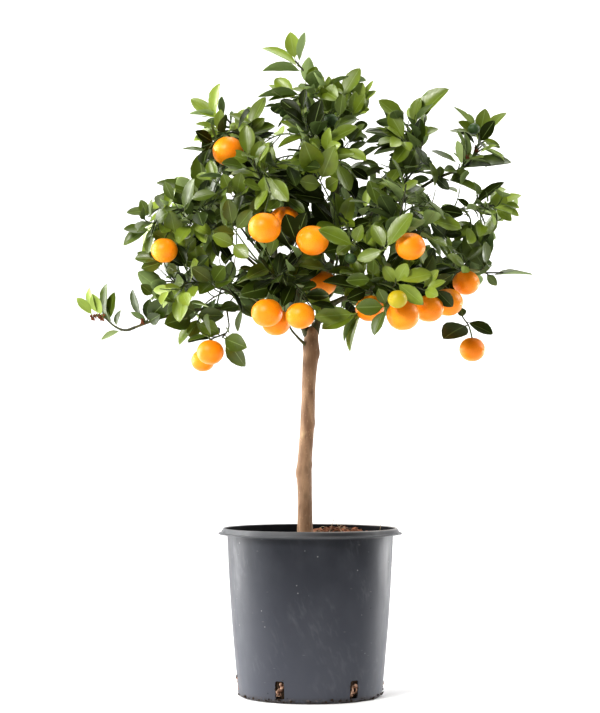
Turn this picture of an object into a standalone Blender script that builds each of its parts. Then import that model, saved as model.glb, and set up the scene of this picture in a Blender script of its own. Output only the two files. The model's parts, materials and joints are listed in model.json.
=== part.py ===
"""Calamondin orange tree, grafted high on one stem, in its round nursery pot.

Metres, +Z up. The origin is the middle of the pot's flat underside, and -Y is the front.
The tree is a trunk, boughs that each carry one mass of foliage, and the masses themselves:
twigs that branch from one stem by a seeded rule, with leaves and oranges fused to them.
"""

import itertools
import math
import random
from collections import namedtuple

import bmesh
import bpy
import numpy as np
from mathutils import Matrix, Vector

# Pot
POT_HEIGHT = 0.200
RIM_RADIUS = 0.110
RIM_TOP_RADIUS = 0.1045
RIM_DEPTH = 0.0066
SHOULDER_RADIUS = 0.0992
SHOULDER_HEIGHT = 0.190
WALL_BULGE = 0.0016
BASE_RADIUS = 0.0860
WALL = 0.0022
BASE_CORNER = 0.0050
CORNER_SLOPE = math.radians(45)
INNER_CORNER = 0.0030
RIM_LIP = 0.0030
RIM_FLARE = 0.0022
RIM_KNEE = 0.0024
FLANGE_TOP = 0.0008
FLANGE_UNDERSIDE = 0.0006
FLANGE_NECK = 0.0008
POT_STEPS = 30
SLOTS = 6
SLOT_WIDTH = 0.0112
SLOT_HEIGHT = 0.0210
SLOT_FOOT = 0.0050
SLOT_TURN = math.radians(-24.3)
SLOT_CUT_DEPTH = 0.020

# Soil in the pot
CLEAR = 0.0003
SOIL_TOP = 0.1850
SOIL_EDGE_DROP = 0.0045
SOIL_FLAT_RADIUS = 0.030
SOIL_SHOULDER_RADIUS = 0.072
SOIL_SHOULDER_DROP = 0.0020
SOIL_CORNER = (0.0036, 0.0020)

# Trunk: height, offset to the right and radius, from the flat cut on the soil to the fork
TRUNK = (
    (SOIL_TOP + CLEAR, -0.0060, 0.0112),
    (0.193, -0.0061, 0.0098),
    (0.210, -0.0062, 0.0089),
    (0.240, -0.0064, 0.0086),
    (0.266, -0.0072, 0.0090),
    (0.284, -0.0062, 0.0084),
    (0.325, -0.0032, 0.0086),
    (0.345, -0.0026, 0.0082),
    (0.380, -0.0014, 0.0084),
    (0.402, 0.0002, 0.0093),
    (0.414, 0.0018, 0.0099),
    (0.426, 0.0012, 0.0085),
    (0.436, 0.0018, 0.0086),
)
TRUNK_RESOLUTION = 2

# Limbs and twigs
WELD_DISTANCE = 1e-6
LIMB_SHARP_ANGLE = math.radians(50)
BOUGH_STEPS = 4
THICK_BOUGH = 0.0030
THICK_RESOLUTION = 1
THIN_RESOLUTION = 0
BOUGH_TAPER = 0.55
BESIDE = 0.04
STEM_STEPS = 3
STEM_LEAD_IN = 0.003
STEM_TAPER = 0.55
SHOOT_STEPS = 2
SHOOT_RADIUS = 0.0015
SHOOT_TAPER = 0.80
STEM_SHARES = 10
SHOOT_BASES = (0.12, 0.92)
SHOOT_LAG = 0.25
SHOOT_HEADING = 0.30
SHOOT_WANDER = 0.10
SHOOT_LIFT = 0.12
SHOOT_SHARES = (2, 9, 8)
STALK_RADIUS = 0.0011
STALK_STEPS = 1
STALK_SHARES = (3, 20)
STALK_RISE = 0.004
LIMB_CLEARANCE = 0.0038
CELL_MARGIN = 0.0008
TWIG_SLACK = 0.0030

# Leaves: the solid ones stand for a few more, so they are a little larger than life
LEAF_LENGTHS = (0.042, 0.054)
LEAF_WIDTH_SHARE = 0.54
LEAF_THICKNESS = 0.0016
LEAF_FOLD = 0.10
LEAF_DROOP = 0.10
LEAF_WIDEST = 0.46
LEAF_WIDTHS = (0.88, 1.12)
LEAF_ROUNDNESS = 0.7
LEAF_ROOT = 0.02
LEAF_ROWS = 6
LEAF_OUTER_PART = 0.3
LEAF_RISE = 0.12
LEAF_FACE = (0.7, 0.7, -0.1)
LEAF_PITCH = 0.0110
LEAF_SPREAD = math.radians(54)
LEAF_SPREADS = (0.85, 1.2)
TIP_LEAF_SPREAD = 0.25
LEAFY_SHARE = 0.85
LEAF_GAP = 0.0042
TWIG_GAP = 0.0024
LEAVES_PER_SHOOT = 6
FEWEST_LEAVES = (4, 2)
LEAF_TURNS = tuple(math.radians(a) for a in (0, 45, -45, 90, -90, 150))
LEAF_SIZES = (1.0, 0.82)
TIP_LEAF_SIZE = 0.86
TIP_SINK = 0.0010
TIP_REACH = 0.036
GOLDEN_TURN = math.radians(137.5)
FLAT_ANGLE = math.radians(0.2)
SPLIT_ROUNDS = 4
SHOOT_TARGETS = 90
TARGET_STRIDE = 37
TARGET_DEPTH = 0.62

# Oranges
FRUIT_SEGMENTS = 8
FRUIT_RINGS = 4
FRUIT_SQUASH = 0.92
FRUIT_CLEARANCE = 0.0016
FRUIT_VIEW_SHARE = 0.75
FRUIT_VIEW_LENGTH = 0.060
STALK_SINK = 0.0030

Mass = namedtuple("Mass", "name bough centre radii lead shoots leaves fruits")
Bough = namedtuple("Bough", "parent along tip bow radius")
Leaf = namedtuple("Leaf", "base along face length width")
Twig = namedtuple("Twig", "points radii")

# Each mass hangs on one bough. A bough leaves its parent limb at a share of the parent's length,
# bows by an offset at its middle and ends at its tip, where the mass's stem goes on to the lead.
# The radii are those of the space that the shoots' ends fill. An orange is x, y, z and diameter.
MASSES = (
    Mass("foliage_upper_left",
         Bough("trunk", 0.955, (-0.066, -0.002, 0.628), (-0.012, -0.002, 0.000), 0.0046),
         (-0.098, -0.012, 0.670), (0.040, 0.046, 0.044), (-0.106, -0.010, 0.696),
         ((-0.064, -0.003, 0.690), (-0.128, -0.010, 0.682), (-0.124, -0.018, 0.646)), 18,
         ((-0.097, -0.052, 0.646, 0.037),)),
    Mass("foliage_crown_top",
         Bough("trunk", 0.956, (0.031, 0.006, 0.664), (0.012, 0.002, -0.010), 0.0046),
         (0.020, 0.006, 0.712), (0.056, 0.052, 0.050), (-0.018, 0.000, 0.762),
         ((0.046, -0.008, 0.722), (0.056, 0.006, 0.704), (-0.032, 0.000, 0.714),
          (0.008, -0.004, 0.730)), 24,
         ()),
    Mass("foliage_arm_tip",
         Bough("foliage_upper_left", 0.12, (-0.212, -0.020, 0.438), (0.000, -0.004, 0.019), 0.0033),
         (-0.236, -0.020, 0.460), (0.016, 0.024, 0.016), (-0.244, -0.020, 0.450),
         ((-0.232, -0.022, 0.460), (-0.240, -0.012, 0.456)), 10,
         ()),
    Mass("foliage_left_low",
         Bough("foliage_arm_tip", 0.36, (-0.104, -0.034, 0.484), (0.004, 0.000, 0.003), 0.0021),
         (-0.142, -0.048, 0.484), (0.050, 0.050, 0.026), (-0.178, -0.050, 0.492),
         ((-0.172, -0.052, 0.466), (-0.150, -0.085, 0.478)), 16,
         ()),
    Mass("foliage_hanging_left",
         Bough("foliage_arm_tip", 0.43, (-0.097, -0.034, 0.446), (-0.002, 0.000, 0.006), 0.0017),
         (-0.108, -0.050, 0.412), (0.030, 0.030, 0.024), (-0.104, -0.048, 0.426),
         ((-0.092, -0.050, 0.414), (-0.126, -0.048, 0.424)), 6,
         ((-0.127, -0.040, 0.399, 0.028), (-0.117, -0.070, 0.408, 0.032))),
    Mass("foliage_left",
         Bough("foliage_upper_left", 0.36, (-0.108, -0.028, 0.556), (0.004, -0.002, -0.010), 0.0028),
         (-0.150, -0.042, 0.564), (0.050, 0.050, 0.046), (-0.176, -0.036, 0.580),
         ((-0.186, -0.042, 0.549), (-0.158, -0.044, 0.586)), 22,
         ((-0.170, -0.084, 0.526, 0.031),)),
    Mass("foliage_front_left",
         Bough("foliage_upper_left", 0.50, (-0.046, -0.050, 0.574), (0.004, 0.000, -0.006), 0.0024),
         (-0.058, -0.096, 0.600), (0.052, 0.048, 0.050), (-0.066, -0.100, 0.630),
         (), 18,
         ((-0.052, -0.165, 0.545, 0.037), (-0.030, -0.100, 0.560, 0.035))),
    Mass("foliage_front_top",
         Bough("foliage_crown_top", 0.56, (0.010, -0.032, 0.604), (0.002, 0.000, -0.006), 0.0023),
         (0.006, -0.072, 0.640), (0.052, 0.050, 0.042), (0.006, -0.080, 0.664),
         (), 18,
         ((0.024, -0.056, 0.682, 0.017),)),
    Mass("foliage_inner",
         Bough("foliage_crown_top", 0.26, (0.032, -0.024, 0.522), (0.002, 0.000, -0.004), 0.0021),
         (0.036, -0.078, 0.540), (0.040, 0.042, 0.040), (0.036, -0.080, 0.556),
         (), 11,
         ((0.046, -0.126, 0.513, 0.013),)),
    Mass("foliage_front_right",
         Bough("foliage_upper_left", 0.28, (0.072, -0.098, 0.522), (0.000, -0.004, 0.004), 0.0026),
         (0.104, -0.106, 0.568), (0.052, 0.046, 0.042), (0.110, -0.112, 0.600),
         ((0.070, -0.112, 0.570),), 18,
         ((0.112, -0.165, 0.524, 0.034),)),
    Mass("foliage_centre_low",
         Bough("trunk", 0.905, (-0.030, -0.066, 0.470), (-0.010, 0.008, 0.000), 0.0018),
         (-0.026, -0.106, 0.486), (0.050, 0.046, 0.034), (-0.050, -0.112, 0.500),
         ((0.006, -0.118, 0.480),), 15,
         ((-0.050, -0.128, 0.451, 0.036), (-0.040, -0.090, 0.442, 0.034), (-0.012, -0.142, 0.447, 0.033),
          (0.014, -0.062, 0.489, 0.033), (0.002, -0.150, 0.532, 0.037))),
    Mass("foliage_right_low",
         Bough("foliage_crown_top", 0.13, (0.070, -0.066, 0.478), (0.000, 0.000, 0.006), 0.0027),
         (0.108, -0.098, 0.486), (0.056, 0.050, 0.030), (0.142, -0.104, 0.494),
         ((0.050, -0.112, 0.440), (0.080, -0.124, 0.452), (0.088, -0.112, 0.500)), 17,
         ((0.068, -0.110, 0.457, 0.033), (0.105, -0.140, 0.448, 0.038), (0.136, -0.108, 0.457, 0.035),
          (0.160, -0.078, 0.466, 0.036), (0.097, -0.172, 0.464, 0.022))),
    Mass("foliage_right_outer",
         Bough("foliage_crown_top", 0.20, (0.174, 0.002, 0.628), (0.004, -0.004, 0.030), 0.0036),
         (0.204, 0.008, 0.656), (0.024, 0.034, 0.034), (0.206, 0.010, 0.672),
         ((0.212, 0.006, 0.642), (0.216, 0.012, 0.672)), 13,
         ((0.197, -0.004, 0.679, 0.015),)),
    Mass("foliage_right_inner",
         Bough("foliage_right_outer", 0.48, (0.112, -0.008, 0.612), (-0.002, 0.000, 0.002), 0.0022),
         (0.120, -0.010, 0.656), (0.040, 0.042, 0.042), (0.138, -0.010, 0.692),
         ((0.092, -0.010, 0.680), (0.134, -0.012, 0.654)), 15,
         ()),
    Mass("foliage_right",
         Bough("foliage_right_outer", 0.58, (0.178, -0.012, 0.580), (0.000, 0.000, -0.003), 0.0020),
         (0.208, -0.018, 0.574), (0.028, 0.044, 0.036), (0.224, -0.020, 0.586),
         ((0.218, -0.022, 0.562),), 14,
         ()),
    Mass("foliage_right_low_outer",
         Bough("foliage_crown_top", 0.17, (0.164, -0.002, 0.504), (0.000, -0.004, 0.008), 0.0028),
         (0.200, -0.002, 0.508), (0.042, 0.048, 0.028), (0.232, 0.000, 0.506),
         ((0.230, 0.004, 0.494), (0.206, 0.010, 0.522)), 16,
         ((0.184, -0.044, 0.491, 0.032),)),
    Mass("foliage_hanging_right",
         Bough("foliage_right_low_outer", 0.86, (0.176, -0.014, 0.468), (0.006, 0.000, 0.006), 0.0015),
         (0.192, -0.018, 0.430), (0.024, 0.026, 0.022), (0.189, -0.018, 0.442),
         ((0.196, -0.020, 0.438),), 4,
         ((0.193, -0.020, 0.413, 0.031),)),
    Mass("foliage_back_left_low",
         Bough("foliage_upper_left", 0.10, (-0.070, 0.064, 0.480), (0.004, 0.000, -0.004), 0.0028),
         (-0.122, 0.108, 0.486), (0.062, 0.056, 0.036), (-0.160, 0.130, 0.496),
         (), 18,
         ((-0.118, 0.158, 0.470, 0.018),)),
    Mass("foliage_back_low",
         Bough("trunk", 0.93, (0.004, 0.084, 0.474), (0.000, 0.000, -0.006), 0.0026),
         (0.000, 0.142, 0.484), (0.058, 0.052, 0.034), (0.000, 0.178, 0.494),
         (), 17,
         ((-0.012, 0.172, 0.463, 0.035), (-0.051, 0.165, 0.466, 0.031))),
    Mass("foliage_back_right_low",
         Bough("foliage_crown_top", 0.10, (0.074, 0.064, 0.486), (0.000, 0.000, -0.004), 0.0028),
         (0.126, 0.106, 0.490), (0.060, 0.056, 0.036), (0.162, 0.128, 0.500),
         (), 18,
         ((0.151, 0.145, 0.471, 0.035), (0.171, 0.086, 0.475, 0.034))),
    Mass("foliage_back_left",
         Bough("foliage_upper_left", 0.44, (-0.084, 0.050, 0.564), (0.004, 0.002, -0.008), 0.0026),
         (-0.124, 0.084, 0.580), (0.058, 0.056, 0.048), (-0.150, 0.104, 0.610),
         (), 18,
         ((-0.142, 0.150, 0.560, 0.034),)),
    Mass("foliage_back",
         Bough("foliage_crown_top", 0.36, (0.004, 0.072, 0.560), (0.000, 0.002, -0.004), 0.0025),
         (-0.004, 0.134, 0.580), (0.056, 0.052, 0.046), (-0.006, 0.160, 0.604),
         (), 17,
         ((0.004, 0.180, 0.560, 0.036),)),
    Mass("foliage_back_right",
         Bough("foliage_crown_top", 0.42, (0.072, 0.046, 0.576), (0.000, 0.002, -0.008), 0.0026),
         (0.114, 0.086, 0.600), (0.058, 0.056, 0.048), (0.140, 0.106, 0.628),
         (), 18,
         ((0.104, 0.140, 0.570, 0.034),)),
    Mass("foliage_back_top",
         Bough("foliage_crown_top", 0.64, (0.000, 0.044, 0.636), (0.000, 0.000, -0.006), 0.0022),
         (-0.012, 0.082, 0.668), (0.056, 0.050, 0.042), (-0.014, 0.094, 0.698),
         (), 17,
         ((0.000, 0.125, 0.657, 0.034),)),
)


def clear_scene():
    for old in list(bpy.data.objects):
        bpy.data.objects.remove(old, do_unlink=True)


def material(name, colour, roughness):
    made = bpy.data.materials.new(name)
    made.use_nodes = True
    surface = made.node_tree.nodes["Principled BSDF"]
    surface.inputs["Base Color"].default_value = (*colour, 1.0)
    surface.inputs["Roughness"].default_value = roughness
    surface.inputs["Metallic"].default_value = 0.0
    return made


def collection(name):
    made = bpy.data.collections.new(name)
    bpy.context.scene.collection.children.link(made)
    return made


def mesh_object(name, mesh, home, surface=None):
    made = bpy.data.objects.new(name, mesh)
    home.objects.link(made)
    if surface:
        mesh.materials.clear()
        mesh.materials.append(surface)
    return made


# Paths of limbs

def bezier(start, control, end, steps):
    """The points of a quadratic curve from start to end."""
    shares = [i / steps for i in range(steps + 1)]
    return [start * (1 - t) ** 2 + control * 2 * t * (1 - t) + end * t ** 2 for t in shares]


def taper(first, last, count):
    return [first + (last - first) * i / (count - 1) for i in range(count)]


def along_path(points, share):
    """The point at a share of a path's length, and the path's direction there."""
    lengths = [(b - a).length for a, b in zip(points, points[1:])]
    left = share * sum(lengths)
    for a, b, length in zip(points, points[1:], lengths):
        if left <= length:
            return a.lerp(b, left / length), (b - a).normalized()
        left -= length
    return points[-1].copy(), (points[-1] - points[-2]).normalized()


def bough_path(bough, limbs):
    """A bough starts on its parent's axis and bows by its offset at the middle."""
    start, _ = along_path(limbs[bough.parent].points, bough.along)
    tip = Vector(bough.tip)
    control = (start + tip) / 2 + 2 * Vector(bough.bow)
    points = bezier(start, control, tip, BOUGH_STEPS)
    return Twig(points, taper(bough.radius, bough.radius * BOUGH_TAPER, len(points)))


def all_limbs():
    """Every limb's path by the name of what it carries; the trunk carries the two leaders."""
    trunk = Twig([Vector((x, 0, z)) for z, x, _ in TRUNK], [r for _, _, r in TRUNK])
    limbs = {"trunk": trunk}
    for mass in MASSES:
        limbs[mass.name] = bough_path(mass.bough, limbs)
    return limbs


# Space kept by each mass

def cell_slack(point, mass):
    """How far inside the mass's own cell a point lies: a cell's walls are the planes halfway
    between it and its neighbours, moved towards the smaller one."""
    own = power(point, mass)
    slacks = []
    for other in MASSES:
        if other is not mass:
            apart = (Vector(other.centre) - Vector(mass.centre)).length
            slacks.append((power(point, other) - own) / (2 * apart))
    return min(slacks)


def power(point, mass):
    size = sum(mass.radii) / 3
    return (point - Vector(mass.centre)).length_squared - size * size


def in_reach(point, mass):
    """Whether a point lies in the mass's ellipsoid, widened by the reach of its outer leaves."""
    offset = point - Vector(mass.centre)
    return sum((o / (r + TIP_REACH)) ** 2 for o, r in zip(offset, mass.radii)) < 1.0


def rods_of(paths):
    """Rows of (start, end, radius) for every stretch of every limb or twig."""
    return [(a, b, r) for path in paths for a, b, r in zip(path.points, path.points[1:], path.radii)]


def fruit_rows():
    """Rows of (start, end, radius) for every orange, and for the clear view of it from its side."""
    rows = []
    for mass in MASSES:
        for x, y, z, diameter in mass.fruits:
            centre = Vector((x, y, z))
            side = Vector((0, -1 if y < 0 else 1, 0))
            radius = diameter / 2
            rows.append((centre, centre, radius))
            rows.append((centre, centre + side * FRUIT_VIEW_LENGTH, radius * FRUIT_VIEW_SHARE))
    return rows


class Obstacles:
    """Round-ended rods that leaves and twigs stay clear of."""

    def __init__(self, rows, clearance):
        self.starts = np.array([a for a, _, _ in rows], float)
        self.spans = np.array([b - a for a, b, _ in rows], float)
        self.reach = np.array([r for _, _, r in rows], float) + clearance
        self.squares = np.maximum((self.spans ** 2).sum(1), 1e-12)

    def hit(self, points):
        points = np.array(points, float)[:, None, :]
        offsets = points - self.starts
        shares = np.clip((offsets * self.spans).sum(2) / self.squares, 0, 1)
        nearest = offsets - shares[:, :, None] * self.spans
        return bool(((nearest ** 2).sum(2) < self.reach ** 2).any())


# Growth of a mass

def leaf_frame(leaf):
    along = leaf.along.normalized()
    side = leaf.face.cross(along).normalized()
    return along, side, along.cross(side)


def leaf_samples(leaf, first=0.0):
    """A grid of points over the leaf's blade, from a share of its length to its tip."""
    along, side, up = leaf_frame(leaf)
    found = []
    for i in range(LEAF_ROWS + 1):
        share = first + (1 - first) * i / LEAF_ROWS
        half = leaf.width / 2 * math.sin(math.pi * min(1.0, share + LEAF_ROOT)) ** LEAF_ROUNDNESS
        drop = -LEAF_DROOP * leaf.length * share * share
        spine = leaf.base + along * (leaf.length * share) + up * drop
        found.extend(spine + side * (half * s) for s in (-1, 0, 1))
    return found


def shoot_path(stem, target, draw):
    """A shoot leaves the stem behind the point nearest its target and curves up to it."""
    shares = [i / STEM_SHARES for i in range(STEM_SHARES + 1)]
    nearest = min(shares, key=lambda share: (along_path(stem.points, share)[0] - target).length)
    lowest, highest = SHOOT_BASES
    base, heading = along_path(stem.points, min(highest, max(lowest, nearest - SHOOT_LAG)))
    span = (target - base).length
    aside = [draw.uniform(-SHOOT_WANDER, SHOOT_WANDER) for _ in range(2)]
    lift = Vector((*aside, SHOOT_LIFT))
    control = base + (heading * span + target - base) * SHOOT_HEADING + lift * span
    points = bezier(base, control, target, SHOOT_STEPS)
    return Twig(points, taper(SHOOT_RADIUS, SHOOT_RADIUS * SHOOT_TAPER, len(points)))


def leaf_buds(shoot, draw):
    """Places for leaves, from the shoot's tip back, turned round it by the golden angle."""
    length = sum((b - a).length for a, b in zip(shoot.points, shoot.points[1:]))
    turn = draw.uniform(0, math.tau)
    for i in range(LEAVES_PER_SHOOT):
        back = TIP_SINK + i * LEAF_PITCH
        if back > length * LEAFY_SHARE:
            return
        base, heading = along_path(shoot.points, 1 - back / length)
        turn += GOLDEN_TURN
        spread = LEAF_SPREAD * (TIP_LEAF_SPREAD if i == 0 else draw.uniform(*LEAF_SPREADS))
        size = draw.uniform(*LEAF_LENGTHS) * (TIP_LEAF_SIZE if i == 0 else 1.0)
        width = size * LEAF_WIDTH_SHARE * draw.uniform(*LEAF_WIDTHS)
        yield base, heading, turn, spread, size, width


def leaf_at(bud, further, scale):
    """The bud's leaf, turned further round its shoot and scaled; its face looks up its shoot."""
    base, heading, turn, spread, size, width = bud
    across = heading.orthogonal().normalized()
    across.rotate(Matrix.Rotation(turn + further, 3, heading))
    along = heading * math.cos(spread) + across * math.sin(spread)
    along = (along + Vector((0, 0, LEAF_RISE))).normalized()
    face = heading * LEAF_FACE[0] + Vector((0, 0, LEAF_FACE[1])) + across * LEAF_FACE[2]
    return Leaf(base, along, face, size * scale, width * scale)


class Space:
    """What one mass may fill: its cell and its reach, clear of limbs, oranges and itself."""

    def __init__(self, mass, solids):
        self.mass = mass
        self.solids = solids
        self.blades = np.empty((0, 3))

    def open_to_twig(self, points):
        if min(cell_slack(p, self.mass) for p in points) < TWIG_SLACK:
            return False
        if any(solid.hit(points) for solid in self.solids):
            return False
        return self.clear_of_blades(points, TWIG_GAP)

    def clear_of_blades(self, points, gap):
        points = np.array(points, float)[:, None]
        return not len(self.blades) or np.linalg.norm(points - self.blades, axis=2).min() > gap

    def open_to_leaf(self, leaf, twigs):
        blade = leaf_samples(leaf)
        if not all(in_reach(p, self.mass) for p in blade[-3:]):
            return False
        if min(cell_slack(p, self.mass) for p in blade) < CELL_MARGIN + LEAF_THICKNESS:
            return False
        if any(solid.hit(blade) for solid in self.solids):
            return False
        outer = leaf_samples(leaf, LEAF_OUTER_PART)
        return self.clear_of_blades(outer, LEAF_GAP) and not twigs.hit(outer)

    def add_leaf(self, leaf):
        self.blades = np.vstack([self.blades, np.array(leaf_samples(leaf, LEAF_OUTER_PART))])


def leaves_on(shoot, twigs, space, draw, most):
    """The leaves of one shoot that find room, each in the first way of growing that fits."""
    found = []
    others = Obstacles(rods_of(twigs + [shoot]), TWIG_GAP)
    for bud in leaf_buds(shoot, draw):
        for further, scale in itertools.product(LEAF_TURNS, LEAF_SIZES):
            leaf = leaf_at(bud, further, scale)
            if len(found) < most and space.open_to_leaf(leaf, others):
                found.append(leaf)
                space.add_leaf(leaf)
                break
    return found


def shoot_targets(mass):
    """The named shoots first, then ends spread evenly over the mass's ellipsoid."""
    for target in mass.shoots:
        yield Vector(target)
    draw = random.Random(mass.name)
    turn = draw.uniform(0, math.tau)
    for i in range(SHOOT_TARGETS):
        step = i * TARGET_STRIDE % SHOOT_TARGETS
        height = 1 - 2 * (step + 0.5) / SHOOT_TARGETS
        ring = math.sqrt(1 - height * height)
        angle = turn + step * GOLDEN_TURN
        ray = Vector((ring * math.cos(angle), ring * math.sin(angle), height))
        ray *= draw.uniform(TARGET_DEPTH, 1.0)
        yield Vector(mass.centre) + Vector(r * s for r, s in zip(ray, mass.radii))


def stem_of(mass, bough):
    """The stem goes on from the bough's tip, face to face with it, and bends to the lead."""
    tip = bough.points[-1]
    heading = (tip - bough.points[-2]).normalized()
    start = tip + heading * CLEAR
    lead = Vector(mass.lead)
    first = start + heading * STEM_LEAD_IN
    control = first + heading * (0.4 * (lead - first).length)
    points = [start] + bezier(first, control, lead, STEM_STEPS)
    radius = bough.radii[-1]
    return Twig(points, taper(radius, max(SHOOT_RADIUS, radius * STEM_TAPER), len(points)))


def fruit_stalk(fruit, twigs):
    """A stalk hangs from the nearest twig over the orange and runs into the orange's crown."""
    crown = Vector(fruit[:3]) + Vector((0, 0, fruit[3] / 2 * FRUIT_SQUASH))
    first, last = STALK_SHARES
    choices = []
    for twig in twigs:
        for i in range(first, last):
            point, _ = along_path(twig.points, i / last)
            low = max(0.0, crown.z + STALK_RISE - point.z)
            choices.append(((point - crown).length + 2 * low, point))
    base = min(choices, key=lambda row: row[0])[1]
    control = (base + crown) / 2 + Vector((0, 0, STALK_RISE))
    points = bezier(base, control, crown - Vector((0, 0, STALK_SINK)), STALK_STEPS)
    return Twig(points, [STALK_RADIUS] * len(points))


def grow(mass, limbs, solids):
    """The stem, shoots, stalks and leaves of one mass, inside its own space. Full shoots come
    first, and then sparser ones as far as the mass still lacks leaves."""
    other_stems = [stem_of(other, limbs[other.name]) for other in MASSES if other is not mass]
    space = Space(mass, solids + [Obstacles(rods_of(other_stems), LIMB_CLEARANCE)])
    stem = stem_of(mass, limbs[mass.name])
    twigs = [stem]
    leaves = leaves_on(stem, [], space, random.Random(mass.name + " lead"), mass.leaves)
    targets = list(enumerate(shoot_targets(mass)))
    first, last, parts = SHOOT_SHARES
    grown = set()
    for fewest, (number, target) in itertools.product(FEWEST_LEAVES, targets):
        if number in grown or len(leaves) > mass.leaves - fewest:
            continue
        draw = random.Random(f"{mass.name} {number}")
        shoot = shoot_path(stem, target, draw)
        free = [along_path(shoot.points, i / parts)[0] for i in range(first, last)]
        if not space.open_to_twig(free):
            continue
        kept = space.blades
        found = leaves_on(shoot, twigs, space, draw, mass.leaves - len(leaves))
        if len(found) < fewest:
            space.blades = kept
            continue
        grown.add(number)
        twigs.append(shoot)
        leaves.extend(found)
    stalks = [fruit_stalk(fruit, twigs) for fruit in mass.fruits]
    return twigs + stalks, leaves


# Solids

def tubes(rows, home, resolution=None, profile=None):
    """Tapering tubes for (name, limb) rows, round by resolution or with a profile's section."""
    guides = []
    for name, limb in rows:
        curve = bpy.data.curves.new(name, "CURVE")
        curve.dimensions = "3D"
        curve.use_fill_caps = True
        if profile:
            curve.bevel_mode = "OBJECT"
            curve.bevel_object = profile
        else:
            curve.bevel_depth = 1.0
            curve.bevel_resolution = resolution
        spline = curve.splines.new("POLY")
        spline.points.add(len(limb.points) - 1)
        for spot, point, radius in zip(spline.points, limb.points, limb.radii):
            spot.co = (*point, 1.0)
            spot.radius = radius
        guides.append(bpy.data.objects.new(name, curve))
        home.objects.link(guides[-1])
    bpy.context.view_layer.update()
    graph = bpy.context.evaluated_depsgraph_get()
    meshes = [bpy.data.meshes.new_from_object(guide.evaluated_get(graph)) for guide in guides]
    for guide, mesh in zip(guides, meshes):
        bpy.data.objects.remove(guide)
        weld(mesh)
    return [mesh_object(name, mesh, home) for (name, _), mesh in zip(rows, meshes)]


def weld(mesh):
    shape = bmesh.new()
    shape.from_mesh(mesh)
    bmesh.ops.remove_doubles(shape, verts=shape.verts, dist=WELD_DISTANCE)
    bmesh.ops.recalc_face_normals(shape, faces=shape.faces)
    shape.to_mesh(mesh)
    shape.free()


def triangle_profile(home):
    """A three-sided section of radius 1, which each twig's own radii scale."""
    curve = bpy.data.curves.new("twig_section", "CURVE")
    curve.dimensions = "2D"
    spline = curve.splines.new("POLY")
    spline.points.add(2)
    for i, spot in enumerate(spline.points):
        angle = math.tau * i / 3
        spot.co = (math.cos(angle), math.sin(angle), 0, 1)
    spline.use_cyclic_u = True
    made = bpy.data.objects.new("twig_section", curve)
    made.hide_render = True
    home.objects.link(made)
    return made


def leaf_object(leaf, home):
    """An eight-faced leaf, folded a little along its midrib, whose pointed root is in its twig."""
    along, side, up = leaf_frame(leaf)
    shape = bmesh.new()
    bmesh.ops.create_uvsphere(shape, u_segments=4, v_segments=2, radius=1.0)
    half_width = leaf.width / 2
    for corner in shape.verts:
        x, y, z = corner.co
        if abs(z) > 0.5:
            spot = (LEAF_WIDEST * leaf.length, 0.0, z * LEAF_THICKNESS / 2)
        elif abs(y) > 0.5:
            spot = (LEAF_WIDEST * leaf.length, y * half_width, LEAF_FOLD * leaf.width)
        elif x > 0:
            spot = (leaf.length, 0.0, -LEAF_DROOP * leaf.length)
        else:
            spot = (0.0, 0.0, 0.0)
        corner.co = leaf.base + along * spot[0] + side * spot[1] + up * spot[2]
    mesh = bpy.data.meshes.new("leaf")
    shape.to_mesh(mesh)
    shape.free()
    return mesh_object("leaf", mesh, home)


def fruit_object(fruit, home):
    shape = bmesh.new()
    bmesh.ops.create_uvsphere(
        shape, u_segments=FRUIT_SEGMENTS, v_segments=FRUIT_RINGS, radius=fruit[3] / 2
    )
    bmesh.ops.scale(shape, vec=(1, 1, FRUIT_SQUASH), verts=shape.verts)
    bmesh.ops.translate(shape, vec=fruit[:3], verts=shape.verts)
    mesh = bpy.data.meshes.new("orange")
    shape.to_mesh(mesh)
    shape.free()
    return mesh_object("orange", mesh, home)


def apply_modifiers(piece):
    """Makes the piece's mesh what its modifiers show."""
    bpy.context.view_layer.update()
    graph = bpy.context.evaluated_depsgraph_get()
    mesh = bpy.data.meshes.new_from_object(piece.evaluated_get(graph))
    piece.modifiers.clear()
    old = piece.data
    piece.data = mesh
    bpy.data.meshes.remove(old)


def island_volume(faces):
    total = 0.0
    for face in faces:
        corners = [loop.vert.co for loop in face.loops]
        for b, c in zip(corners[1:], corners[2:]):
            total += corners[0].dot(b.cross(c)) / 6
    return total


def clean_union(mesh):
    """Keeps the largest island, as a hollow that the union sealed and a loose scrap are islands too,
    and leaves it in triangles."""
    shape = bmesh.new()
    shape.from_mesh(mesh)
    left = set(shape.faces)
    islands = []
    while left:
        front = [left.pop()]
        island = []
        while front:
            face = front.pop()
            island.append(face)
            linked = {other for edge in face.edges for other in edge.link_faces} & left
            left -= linked
            front.extend(linked)
        islands.append(island)
    islands.sort(key=island_volume, reverse=True)
    scraps = [face for island in islands[1:] for face in island]
    bmesh.ops.delete(shape, geom=scraps, context="FACES")
    bmesh.ops.dissolve_limit(shape, angle_limit=FLAT_ANGLE, verts=shape.verts, edges=shape.edges)
    part_doubled_edges(shape)
    bmesh.ops.triangulate(shape, faces=shape.faces)
    shape.to_mesh(mesh)
    shape.free()


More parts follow.
